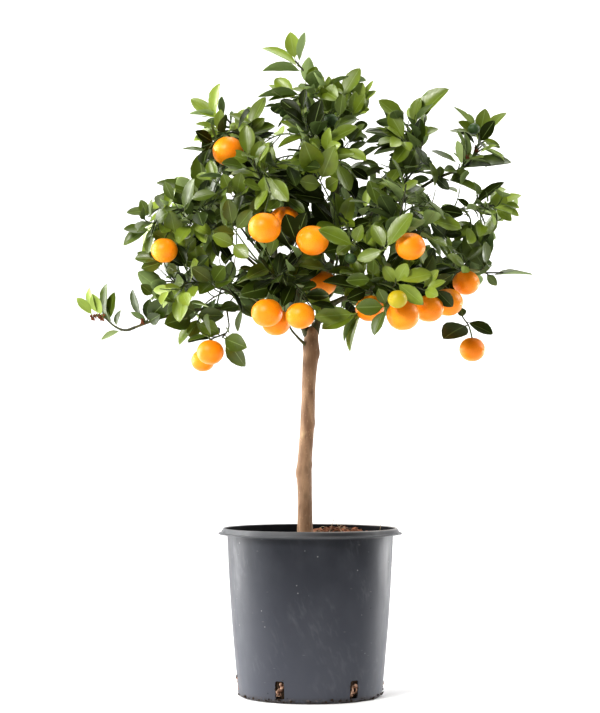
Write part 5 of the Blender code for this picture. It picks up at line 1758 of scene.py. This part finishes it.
def leaf_shape(number):
    """A leaf of length and width 1: a flattened sphere drawn out to a stalk and a pointed tip."""
    draw = random.Random(f"leaf {number}")
    fold = draw.uniform(*FOLDS)
    droop = draw.uniform(*DROOPS)
    sway = draw.uniform(-SWAY, SWAY)
    twist = draw.uniform(-TWIST, TWIST)
    wave = draw.uniform(*WAVES)
    phase = draw.uniform(0, math.tau)
    shares = (0.0, *LEAF_STATIONS, 1.0)
    shape = bmesh.new()
    bmesh.ops.create_uvsphere(shape, u_segments=LEAF_SIDES, v_segments=len(shares) - 1, radius=1.0)
    layer = shape.loops.layers.uv.new("UVMap")
    spots = {}
    for corner in shape.verts:
        x, y, z = corner.co
        share = shares[round(math.acos(max(-1.0, min(1.0, z))) / math.pi * (len(shares) - 1))]
        girth = math.hypot(x, y)
        across, rise = (x / girth, y / girth) if girth > 0.01 else (0.0, 0.0)
        spots[corner] = share, across, rise
        half = max(STALK_HALF_WIDTH, blade_width(share) / 2)
        inward = min(1.0, max(0.0, (share - LEAF_PETIOLE) / BLADE_EASE))
        aside = across * half
        lift = inward * fold * LEAF_ASPECT * half * abs(across) ** FOLD_CURVE
        lift += inward * wave * math.sin(WAVE_TURNS * share + phase) * across * across
        lift += math.tan(twist * share) * aside * LEAF_ASPECT
        lift -= inward * MIDRIB_DEPTH * max(0.0, 1 - abs(across)) + droop * share * share
        thick = STALK_THICKNESS if share < LEAF_PETIOLE else BLADE_THICKNESS
        corner.co = (share, aside + sway * share * share, lift + rise * thick)
    for loop in (loop for face in shape.faces for loop in face.loops):
        share, across, _ = spots[loop.vert]
        loop[layer].uv = (share, across / 2 + 0.5)
    for edge in shape.edges:
        edge.smooth = not all(abs(spots[corner][1]) > 0.99 for corner in edge.verts)
    undersides = [sum(spots[corner][2] for corner in face.verts) < 0 for face in shape.faces]
    mesh = mesh_from(shape, f"leaf_shape_{number}")
    mesh.shade_smooth()
    mesh.attributes.new("underside", "BOOLEAN", "FACE").data.foreach_set("value", undersides)
    return mesh


def leaf_pieces(leaves, tree):
    """One piece for each green, of all the sprays that were dealt it."""
    shapes = shape_collection("leaf_shape", [leaf_shape(i) for i in range(LEAF_SHAPES)])
    for tone, (upper, under, gloss) in LEAF_TONES.items():
        rows = []
        for leaf in leaves:
            if leaf.tone == tone:
                turn = Matrix(leaf_frame(leaf)).transposed().to_euler()
                rows.append((leaf.base, turn, (leaf.length, leaf.width, leaf.length), leaf.shape))
        face = leaf_finish(tone, upper, gloss)
        back = leaf_finish(tone + "_underside", under, gloss, underside=True)
        hand_in(copies(tone, rows, shapes, tree, face, back), "leaf", *FOLIAGE)


def star_shape():
    """A calyx of unit radius: a five-pointed dish with its hollow side down."""
    shape = bmesh.new()
    bmesh.ops.create_cone(shape, segments=CALYX_SIDES, radius1=1.0, radius2=CALYX_CROWN,
                          depth=CALYX_DEPTH, cap_ends=True, cap_tris=True)
    for corner in shape.verts:
        x, y, z = corner.co
        place = round(math.atan2(y, x) / math.tau * CALYX_SIDES) % 2
        if math.hypot(x, y) > (1 + CALYX_CROWN) / 2:
            reach = 1.0 if place else CALYX_NOTCH
            corner.co = (x * reach, y * reach, -CALYX_DEPTH * reach)
        elif z < 0:
            corner.co.z = CALYX_HOLLOW
    mesh = mesh_from(shape, "calyx_shape")
    mesh.shade_smooth()
    return mesh


def crumpled_shape(name, seed, size, depth):
    """A small lump with a wrinkled skin, of about unit size times size."""
    shape = bmesh.new()
    bmesh.ops.create_uvsphere(shape, u_segments=LUMP_SIDES, v_segments=LUMP_RINGS, radius=0.5)
    for corner in shape.verts:
        swell = 1 + depth * noise.noise(corner.co * 3.1 + Vector((seed, 0, 0))) * 2
        corner.co = Vector(c * swell * s for c, s in zip(corner.co, size))
    mesh = mesh_from(shape, name)
    shade_round(mesh, math.radians(50))
    return mesh


def chip_shape(number):
    """A bent splinter of bark of length 1, with broken ends."""
    draw = random.Random(f"chip {number}")
    shape = bmesh.new()
    bmesh.ops.create_cube(shape, size=1.0)
    bmesh.ops.subdivide_edges(shape, edges=shape.edges, cuts=1, use_grid_fill=True)
    for corner in shape.verts:
        bent = corner.co + Vector(draw.uniform(-CHIP_JITTER, CHIP_JITTER) for _ in range(3))
        corner.co = (bent.x, bent.y * CHIP_WIDTH, bent.z * CHIP_THICKNESS - CHIP_BEND * bent.x * bent.x)
    mesh = mesh_from(shape, f"chip_shape_{number}")
    shade_round(mesh, math.radians(35))
    return mesh


def fibre_shape(number, tree, surface):
    """A curly fibre about 1 long."""
    draw = random.Random(f"fibre {number}")
    points = []
    for i in range(FIBRE_STEPS + 1):
        t = i / FIBRE_STEPS
        aside = FIBRE_JITTER * draw.uniform(-1, 1) + FIBRE_CURL * math.sin(FIBRE_TURNS * t + number)
        raised = FIBRE_JITTER / 2 * draw.uniform(-1, 1) + FIBRE_ARCH * math.sin(math.pi * t)
        points.append(Vector((t - 0.5, aside, raised)))
    line = Twig(points, [FIBRE_RADIUS] * len(points))
    fibre = tubes(f"fibre_{number}", [line], tree, surface, FIBRE_SIDES, 1 / FIBRE_STEPS)
    mesh = fibre.data
    bpy.data.objects.remove(fibre)
    return mesh


# Oranges

def oranges(name, fruits, surface):
    """Oranges with a dimple round the stalk, a small one underneath, and uneven skins."""
    shape = bmesh.new()
    for x, y, z, diameter in fruits:
        draw = random.Random(f"orange {x} {z}")
        seed = Vector((draw.uniform(0, 90), draw.uniform(0, 90), 0))
        squash = FRUIT_SQUASH * draw.uniform(*FRUIT_SQUASHES)
        leans = [draw.uniform(-FRUIT_TILT, FRUIT_TILT) for _ in range(2)]
        tilt = Euler((*leans, draw.uniform(0, math.tau)))
        made = bmesh.ops.create_uvsphere(
            shape, u_segments=FRUIT_SEGMENTS, v_segments=FRUIT_RINGS, radius=1.0
        )
        for corner in made["verts"]:
            ray = corner.co.normalized()
            crown = math.acos(max(-1.0, min(1.0, ray.z)))
            swell = 1 + sum(rise * noise.noise(ray * scale + seed) for rise, scale in FRUIT_LUMPS)
            for away, (depth, width) in ((crown, CROWN_DIMPLE), (math.pi - crown, FOOT_DIMPLE)):
                swell -= depth * math.exp(-(away / width) ** 2)
            spot = Vector((ray.x, ray.y, ray.z * squash)) * (swell * diameter / 2)
            spot.rotate(tilt)
            corner.co = spot + Vector((x, y, z))
    mesh = mesh_from(shape, name)
    mesh.shade_smooth()
    return mesh_object(name, mesh, surface)


def all_oranges():
    fruits = [fruit for mass in MASSES for fruit in mass.fruits]
    green = [fruit for fruit in fruits if fruit[3] < GREEN_FRUIT]
    turning = [fruit for fruit in fruits if GREEN_FRUIT <= fruit[3] < TURNING_FRUIT]
    ripe = [fruit for fruit in fruits if fruit[3] >= TURNING_FRUIT]
    ripe_peel = peel_finish("ripe_peel", (0.900, 0.240, 0.003), (0.960, 0.340, 0.008))
    turning_peel = peel_finish("turning_peel", (0.50, 0.37, 0.010), (0.42, 0.37, 0.02))
    green_peel = peel_finish("green_peel", (0.042, 0.080, 0.026), (0.072, 0.120, 0.042))
    hand_in(oranges("oranges_ripe", ripe, ripe_peel), "orange_peel", *FOLIAGE)
    hand_in(oranges("orange_turning", turning, turning_peel), "orange_peel")
    hand_in(oranges("oranges_green", green, green_peel), "orange_peel")
    return fruits


def calyxes(fruits, tree, surface):
    """A green star on each orange's crown."""
    rows = []
    for x, y, z, diameter in fruits:
        draw = random.Random(f"calyx {x} {z}")
        width = CALYX_RADIUS * (CALYX_SHARE + (1 - CALYX_SHARE) * diameter / CALYX_FRUIT)
        crown = z + diameter / 2 * FRUIT_SQUASH * CROWN_SHARE
        turn = Euler((0, 0, draw.uniform(0, math.tau)))
        rows.append((Vector((x, y, crown)), turn, (width, width, width), 0))
    shapes = shape_collection("calyx_shape", [star_shape()])
    hand_in(copies("calyxes", rows, shapes, tree, surface), "green_bark")


def withered_flowers(twigs, tree, surface):
    """Brown remains of blossom on the twigs nearest to the places where they hang."""
    spots = [along_path(twig.points, share)[0] for twig in twigs for share in WITHERED_SHARES]
    rows = []
    for number, place in enumerate(WITHERED):
        nearest = sorted(spots, key=lambda spot: (spot - Vector(place)).length)[:2]
        draw = random.Random(f"withered {number}")
        for spot in nearest:
            tilt = [draw.uniform(-WITHERED_TILT, WITHERED_TILT) for _ in range(2)]
            turn = Euler((*tilt, draw.uniform(0, math.tau)))
            size = draw.uniform(*WITHERED_SIZES)
            offset = Vector((draw.uniform(-1, 1), draw.uniform(-1, 1), draw.uniform(-1.2, 0)))
            shape = draw.randrange(LUMP_SHAPES)
            sizes = tuple(size * share for share in WITHERED_SHAPE)
            rows.append((spot + offset * WITHERED_DRIFT, turn, sizes, shape))
    meshes = [crumpled_shape(f"withered_shape_{i}", 5 * i, (1, 1, 1.3), 0.8) for i in range(LUMP_SHAPES)]
    shapes = shape_collection("withered_shape", meshes)
    hand_in(copies("withered_flowers", rows, shapes, tree, surface), "bark")


# Pot and soil

def pot_wall(rows):
    """Outer radius and height of the pot's wall from the shoulder down to its rounded corner."""
    points = []
    for i in range(rows + 1):
        share = 1 - i / rows
        height = BASE_CORNER + (SHOULDER_HEIGHT - BASE_CORNER) * share
        radius = BASE_RADIUS + (SHOULDER_RADIUS - BASE_RADIUS) * share
        points.append((radius + WALL_BULGE * math.sin(math.pi * share), height))
    return points


def arc(centre, radius, first, last, steps):
    """Points of (radius, height) on an arc between two angles in degrees."""
    angles = [math.radians(first + (last - first) * i / steps) for i in range(steps + 1)]
    return [(centre[0] + radius * math.cos(a), centre[1] + radius * math.sin(a)) for a in angles]


def pot_profile():
    """The shell's section, from the middle of its floor up the inside, over the rim and down."""
    wall = pot_wall(WALL_ROWS)
    inner = [(radius - WALL, height) for radius, height in reversed(wall[:-1])]
    floor_edge = BASE_RADIUS - WALL
    floor = [(0, WALL), (floor_edge - FLOOR_CORNER, WALL), (floor_edge, BASE_CORNER + WALL)]
    lip = RIM_LIP_RADIUS
    flange = POT_HEIGHT - RIM_DEPTH
    rim = arc((RIM_TOP_RADIUS - lip - RIM_ROLL, POT_HEIGHT - lip), lip, 170, 90, 4)
    rim += arc((RIM_TOP_RADIUS - lip, POT_HEIGHT - lip), lip, 80, 10, 4)
    rim += [(RIM_TOP_RADIUS + out, flange + up) for out, up in RIM_SLOPE]
    edge = FLANGE_THICKNESS / 2
    fillet = (RIM_TOP_RADIUS + FILLET_OUT, flange + FLANGE_FILLET + edge)
    rim += arc(fillet, FLANGE_FILLET, 250, 268, 1)
    rim += arc((RIM_RADIUS - edge, flange), edge, 80, -90, 6)
    rim += [(SHOULDER_RADIUS + out, flange - edge - down) for out, down in SHOULDER_STEPS]
    corner = arc((BASE_RADIUS - BASE_CORNER, BASE_CORNER), BASE_CORNER, -10, -90, 6)
    return floor + inner + rim + wall + corner + [(0, 0)]


def turned(name, profile, surface):
    """A round piece from a profile of (radius, height) that runs down its outer side."""
    mesh = bpy.data.meshes.new(name)
    points = [(radius, 0, height) for radius, height in profile]
    mesh.from_pydata(points, [(i, i + 1) for i in range(len(points) - 1)], [])
    made = mesh_object(name, mesh, surface)
    screw = made.modifiers.new("turn", "SCREW")
    screw.steps = POT_STEPS
    screw.render_steps = POT_STEPS
    screw.use_merge_vertices = True
    screw.merge_threshold = 1e-5
    return made


def slot_frames():
    """The middle of each drain slot as an angle round the pot."""
    return [SLOT_TURN + math.tau * i / SLOTS for i in range(SLOTS)]


def pot(surface, inside):
    """The pot's shell with its lipped rim and its ring of drain slots."""
    made = turned("pot_shell", pot_profile(), surface)
    slots = bpy.data.collections.new("drain_slots")
    for angle in slot_frames():
        shape = bmesh.new()
        bmesh.ops.create_cube(shape, size=1.0)
        bmesh.ops.scale(shape, vec=(SLOT_WIDTH, SLOT_CUT_DEPTH, SLOT_HEIGHT), verts=shape.verts)
        upright = [e for e in shape.edges if abs(e.verts[0].co.y - e.verts[1].co.y) > 0.01]
        bmesh.ops.bevel(shape, geom=upright, offset=SLOT_CORNER, segments=3, affect="EDGES", profile=0.5)
        cutter = bpy.data.objects.new("drain_slot", mesh_from(shape, "drain_slot"))
        cutter.location = (
            BASE_RADIUS * math.sin(angle),
            -BASE_RADIUS * math.cos(angle),
            SLOT_FOOT + SLOT_HEIGHT / 2,
        )
        cutter.rotation_euler = (0, 0, angle)
        slots.objects.link(cutter)
    bpy.context.scene.collection.children.link(slots)
    cut = made.modifiers.new("slots", "BOOLEAN")
    cut.operation = "DIFFERENCE"
    cut.operand_type = "COLLECTION"
    cut.collection = slots
    cut.solver = "EXACT"
    apply_modifiers(made)
    for cutter in list(slots.objects):
        bpy.data.objects.remove(cutter)
    bpy.data.collections.remove(slots)
    shade_round(made.data, math.radians(40))
    # The inward faces below the rim take the second finish, near-black and dull, as painted shade inside
    # the pot
    made.data.materials.append(inside)
    for face in made.data.polygons:
        x, y, z = face.center
        inward = face.normal.x * x + face.normal.y * y < -INWARD * math.hypot(x, y)
        if inward and z < POT_HEIGHT - 2 * RIM_LIP_RADIUS:
            face.material_index = 1
    hand_in(made, "pot_plastic", "pot")


def soil_height(x, y):
    """How high the soil stands over a spot, with its heaps, hollows and grains."""
    radius = math.hypot(x, y)
    height = SOIL_TOP - SOIL_EDGE_DROP * (radius / SHOULDER_RADIUS) ** 3
    for heap_x, heap_y, rise, width in HEAPS:
        height += rise * math.exp(-((x - heap_x) ** 2 + (y - heap_y) ** 2) / width ** 2)
    for share, scale, seed in SOIL_GRAINS:
        height += share * SOIL_GRAIN * noise.noise(Vector((x * scale, y * scale, seed)))
    return height


def soil(surface):
    """The root ball, with lumpy soil on top that is heaped up behind the trunk to the right."""
    inner = [(radius - WALL - CLEAR, height) for radius, height in pot_wall(WALL_ROWS)]
    side = [(radius, height) for radius, height in inner if height < SOIL_TOP - 2 * SOIL_EDGE_DROP]
    edge = side[0][0] + SOIL_INSET
    top = [(edge * i / SOIL_RINGS, SOIL_TOP) for i in range(SOIL_RINGS + 1)]
    foot = WALL + CLEAR
    base = [(BASE_RADIUS - WALL - SOIL_FOOT_INSET, foot), (0, foot)]
    made = turned("soil_heap", top + side[:-1] + base, surface)
    apply_modifiers(made)
    share = made.data.attributes.new("share", "FLOAT", "POINT")
    heap_x, heap_y, _, _ = HEAPS[0]
    for corner in made.data.vertices:
        x, y, z = corner.co
        if z > SOIL_TOP - 1e-5:
            corner.co.z = soil_height(x, y)
            near = math.exp(-((x - heap_x) ** 2 + (y - heap_y) ** 2) / HEAP_REACH ** 2)
            away = math.hypot(x - TRUNK[0][1], y) > TRUNK_CLEARING
            away = away and math.hypot(x, y) < edge - EDGE_CLEARING
            share.data[corner.index].value = (BARE_SHARE + (1 - BARE_SHARE) * near) if away else 0.0
        elif z > foot + 1e-5:
            inset = 1 - SOIL_DENTS * (0.5 + noise.noise(corner.co * SOIL_DENT_SCALE))
            corner.co.x *= inset
            corner.co.y *= inset
    shade_round(made.data, math.radians(40))
    hand_in(made, "soil", "soil")
    return made


def bark_mulch(ground, tree, tube, surface, fibre):
    """Bark chips and coir fibres strewn over the soil, most of them on the heap."""
    chips = shape_collection("chip_shape", [chip_shape(i) for i in range(CHIP_SHAPES)])
    fibres = shape_collection("fibre_shape", [fibre_shape(i, tube, fibre) for i in range(FIBRE_SHAPES)])
    for name, values in (
        ("bark_chips", {"Shapes": chips, "Surface": surface, "Density": 24000.0, "Seed": 4,
                        "Smallest": (0.004, 0.004, 0.004), "Largest": (0.013, 0.012, 0.013),
                        "Tilt": (0.5, 0.5, 3.1)}),
        ("coir_fibres", {"Shapes": fibres, "Surface": fibre, "Density": 9000.0, "Seed": 9,
                         "Smallest": (0.012, 0.012, 0.012), "Largest": (0.026, 0.026, 0.026),
                         "Tilt": (0.25, 0.25, 3.1)}),
    ):
        hand_in(through_tree(name, ground.data.copy(), tree, values), "bark")


def slot_roots(tree, surface):
    """Pale roots that crowd each drain slot and reach out of it a little."""
    roots = []
    for number, angle in enumerate(slot_frames()):
        draw = random.Random(f"roots {number}")
        across = Vector((math.cos(angle), math.sin(angle), 0))
        out = Vector((math.sin(angle), -math.cos(angle), 0))
        for _ in range(ROOTS_PER_SLOT):
            reach = SLOT_FOOT + ROOT_MARGIN, SLOT_FOOT + SLOT_HEIGHT - ROOT_MARGIN
            low, high = sorted(draw.uniform(*reach) for _ in range(2))
            sides = [draw.uniform(-ROOT_SPREAD, ROOT_SPREAD) * SLOT_WIDTH for _ in range(3)]
            inmost = BASE_RADIUS - WALL - ROOT_START
            depths = [inmost, BASE_RADIUS + draw.uniform(*ROOT_DEPTHS), inmost]
            heights = [low, (low + high) / 2 + draw.uniform(-ROOT_BEND, ROOT_BEND), high]
            spots = [out * d + across * s + Vector((0, 0, h)) for d, s, h in zip(depths, sides, heights)]
            points = bezier(spots[0], spots[1] * 2 - (spots[0] + spots[2]) / 2, spots[2], ROOT_STEPS)
            radius = draw.uniform(*ROOT_RADII)
            roots.append(Twig(points, [radius] * len(points)))
    hand_in(tubes("slot_roots", roots, tree, surface), "bark")


def soil_crumbs(tree, surface):
    """Crumbs of wet soil that stick to the drain slots' sides and along the pot's lower edge."""
    draw = random.Random("soil crumbs")
    spots = []
    for angle in slot_frames():
        for _ in range(CRUMBS_PER_SLOT):
            aside = draw.choice(CRUMB_SIDES) * SLOT_WIDTH / BASE_RADIUS
            height = SLOT_FOOT + draw.uniform(CRUMB_HEIGHTS[0], SLOT_HEIGHT + CRUMB_HEIGHTS[1])
            spots.append((angle + aside, height, 0.0))
    for _ in range(FOOT_CRUMBS):
        height = draw.uniform(FOOT_CRUMB_LOW, BASE_CORNER)
        spots.append((draw.uniform(0, math.tau), height, FOOT_CRUMB_INSET * (1 - height / BASE_CORNER)))
    rows = []
    for angle, height, inset in spots:
        radius = BASE_RADIUS + WALL_LEAN * height + inset
        size = draw.uniform(*CRUMB_SIZES)
        turn = Euler([draw.uniform(0, math.tau) for _ in range(3)])
        place = Vector((radius * math.sin(angle), -radius * math.cos(angle), max(height, size)))
        sizes = tuple(size * share for share in CRUMB_SHAPE)
        rows.append((place, turn, sizes, draw.randrange(LUMP_SHAPES)))
    meshes = [crumpled_shape(f"crumb_shape_{i}", 11 * i + 3, (1, 1, 1), 0.7) for i in range(LUMP_SHAPES)]
    hand_in(copies("soil_crumbs", rows, shape_collection("crumb_shape", meshes), tree, surface), "soil")


def dry_stalks(tree, surface):
    """Thin dead stems of weeds that stand in the soil."""
    stalks = []
    for foot_x, foot_y, top_x, top_y, top_z in STALKS:
        foot = Vector((foot_x, foot_y, soil_height(foot_x, foot_y) - WEED_SINK))
        top = Vector((top_x, top_y, top_z))
        points = bezier(foot, (foot + top) / 2 + Vector(WEED_BOW), top, ROOT_STEPS)
        stalks.append(narrowing(points, *WEED_RADII))
    hand_in(tubes("dry_stalks", stalks, tree, surface, 6), "bark")


# Camera, light and floor

def camera():
    made = placed("photo_camera", bpy.data.cameras.new("photo_camera"))
    made.data.sensor_width = SENSOR
    made.data.lens = SENSOR * FOCAL_PIXELS / PHOTO_HEIGHT
    made.data.clip_end = 40.0
    made.location = CAMERA_PLACE
    made.rotation_euler = (CAMERA_TILT, 0, 0)
    bpy.context.scene.camera = made


def softbox(name, place, target, size, power, colour, spread):
    """A square area light that looks at a target."""
    lamp = bpy.data.lights.new(name, "AREA")
    lamp.size = size
    lamp.spread = math.radians(spread)
    lamp.energy = power
    lamp.color = colour
    made = placed(name, lamp)
    made.location = place
    made.rotation_euler = (Vector(target) - Vector(place)).to_track_quat("-Z", "Y").to_euler()


def studio():
    """A pale floor that curves up into a lit backdrop, with soft light from the left and above."""
    paper = Finish("studio_paper", 0.95, 0.1)
    paper.colour(paper.mix(paper.noise(0.5), (0.93, 0.93, 0.93), (0.95, 0.95, 0.95)))
    sweep = [(-FLOOR_REACH, 0.0), (SWEEP_START, 0.0)]
    for angle in np.linspace(0, math.pi / 2, SWEEP_STEPS + 1)[1:]:
        sweep.append((SWEEP_START + SWEEP_RADIUS * math.sin(angle), SWEEP_RADIUS * (1 - math.cos(angle))))
    sweep.append((SWEEP_START + SWEEP_RADIUS, WALL_TOP))
    corners = [(x, y, z) for x in (-FLOOR_REACH, FLOOR_REACH) for y, z in sweep]
    faces = [(i, i + 1, i + 1 + len(sweep), i + len(sweep)) for i in range(len(sweep) - 1)]
    mesh = bpy.data.meshes.new("studio_floor")
    mesh.from_pydata(corners, [], [tuple(reversed(face)) for face in faces])
    mesh.shade_smooth()
    mesh_object("studio_floor", mesh, paper.made)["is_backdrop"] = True
    for row in SOFTBOXES:
        softbox(*row)
    world = bpy.data.worlds.new("studio_room")
    world.use_nodes = True
    room = world.node_tree.nodes["Background"]
    room.inputs["Color"].default_value = (1.0, 1.0, 1.0, 1.0)
    room.inputs["Strength"].default_value = ROOM_LIGHT
    bpy.context.scene.world = world
    bpy.context.scene.view_settings.view_transform = "Standard"
    bpy.context.scene.view_settings.look = "Medium High Contrast"


def whole_crown(limbs):
    """The sprays of the photo first, then every mass's own twigs, stalks and leaves, and last the
    twigs along the boughs, all in one shared room."""
    room = Room(limbs)
    carriers = [stem_of(mass, limbs[mass.name]) for mass in MASSES]
    for stem in carriers:
        held = stem.points[:HELD_STEM_POINTS]
        room.add_twig(Twig(held, [HELD_STEM_RADIUS] * len(held)))
    carriers += [limbs[mass.name] for mass in MASSES]
    stems, twigs, stalks, leaves = [], [], [], []
    for spray in SPRAYS:
        shoot, own = spray_shoot(spray, carriers)
        draw = random.Random(f"spray {spray.end}")
        found = list(spray_leaves(spray, shoot, draw))
        leaves += found
        for leaf in found:
            room.add_leaf(leaf)
        if own:
            twigs.append(shoot)
            room.add_twig(shoot)
    for number, mass in enumerate(MASSES):
        grown, hanging, found = grow(mass, number, limbs, room)
        stems.append(grown[0])
        twigs += grown[1:]
        stalks += hanging
        leaves += found
    for number, mass in enumerate(MASSES):
        more_twigs, more = spurs(mass, number, limbs[mass.name], room)
        twigs += more_twigs
        leaves += more
    return stems, twigs, stalks, leaves


def main():
    camera()
    studio()
    tube, points, strewn = tube_tree(), copies_tree(), scatter_tree()
    trunk_bark = bark_finish("trunk_bark", (0.310, 0.200, 0.122), (0.175, 0.102, 0.060), 0.22)
    bough_bark = bark_finish("bough_bark", (0.095, 0.092, 0.040), (0.040, 0.040, 0.020), 0.40)
    green_twig = twig_finish("green_twig", (0.085, 0.115, 0.030), (0.038, 0.050, 0.016))
    brown_twig = twig_finish("brown_twig", (0.075, 0.080, 0.034), (0.034, 0.034, 0.017))
    root_tan = earthy_finish("root_tan", (0.10, 0.045, 0.028), (0.50, 0.33, 0.24), 240.0)
    withered_brown = earthy_finish("withered_brown", (0.10, 0.035, 0.018), (0.26, 0.10, 0.05), 600.0)
    chip_brown = earthy_finish("chip_brown", (0.130, 0.055, 0.032), (0.36, 0.175, 0.105), 300.0)
    straw = earthy_finish("straw", (0.26, 0.20, 0.13), (0.46, 0.36, 0.24), 400.0)
    earth = earthy_finish("earth", (0.018, 0.012, 0.008), (0.075, 0.048, 0.030), 420.0)

    # The pot's inside finish is near-black as painted shade
    pot(plastic_finish(), earthy_finish("pot_inside", (0.003, 0.003, 0.004), (0.006, 0.006, 0.007), 60.0))
    bark_mulch(soil(earth), strewn, tube, chip_brown, straw)
    slot_roots(tube, root_tan)
    soil_crumbs(points, earth)
    dry_stalks(tube, straw)

    limbs = all_limbs()
    trunk_and_boughs(limbs, trunk_bark, bough_bark)
    stems, twigs, stalks, leaves = whole_crown(limbs)
    hand_in(tubes("twigs_brown", stems, tube, brown_twig), "green_bark", *FOLIAGE)
    hand_in(tubes("twigs_green", twigs + stalks, tube, green_twig), "green_bark", *FOLIAGE)
    leaf_pieces(leaves, points)
    calyxes(all_oranges(), points, green_twig)
    withered_flowers(twigs, points, withered_brown)
    print(len(leaves), "leaves,", len(twigs), "twigs")


main()
boxes = [[list(corner) for corner in box] for box in (cad_box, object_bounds())]
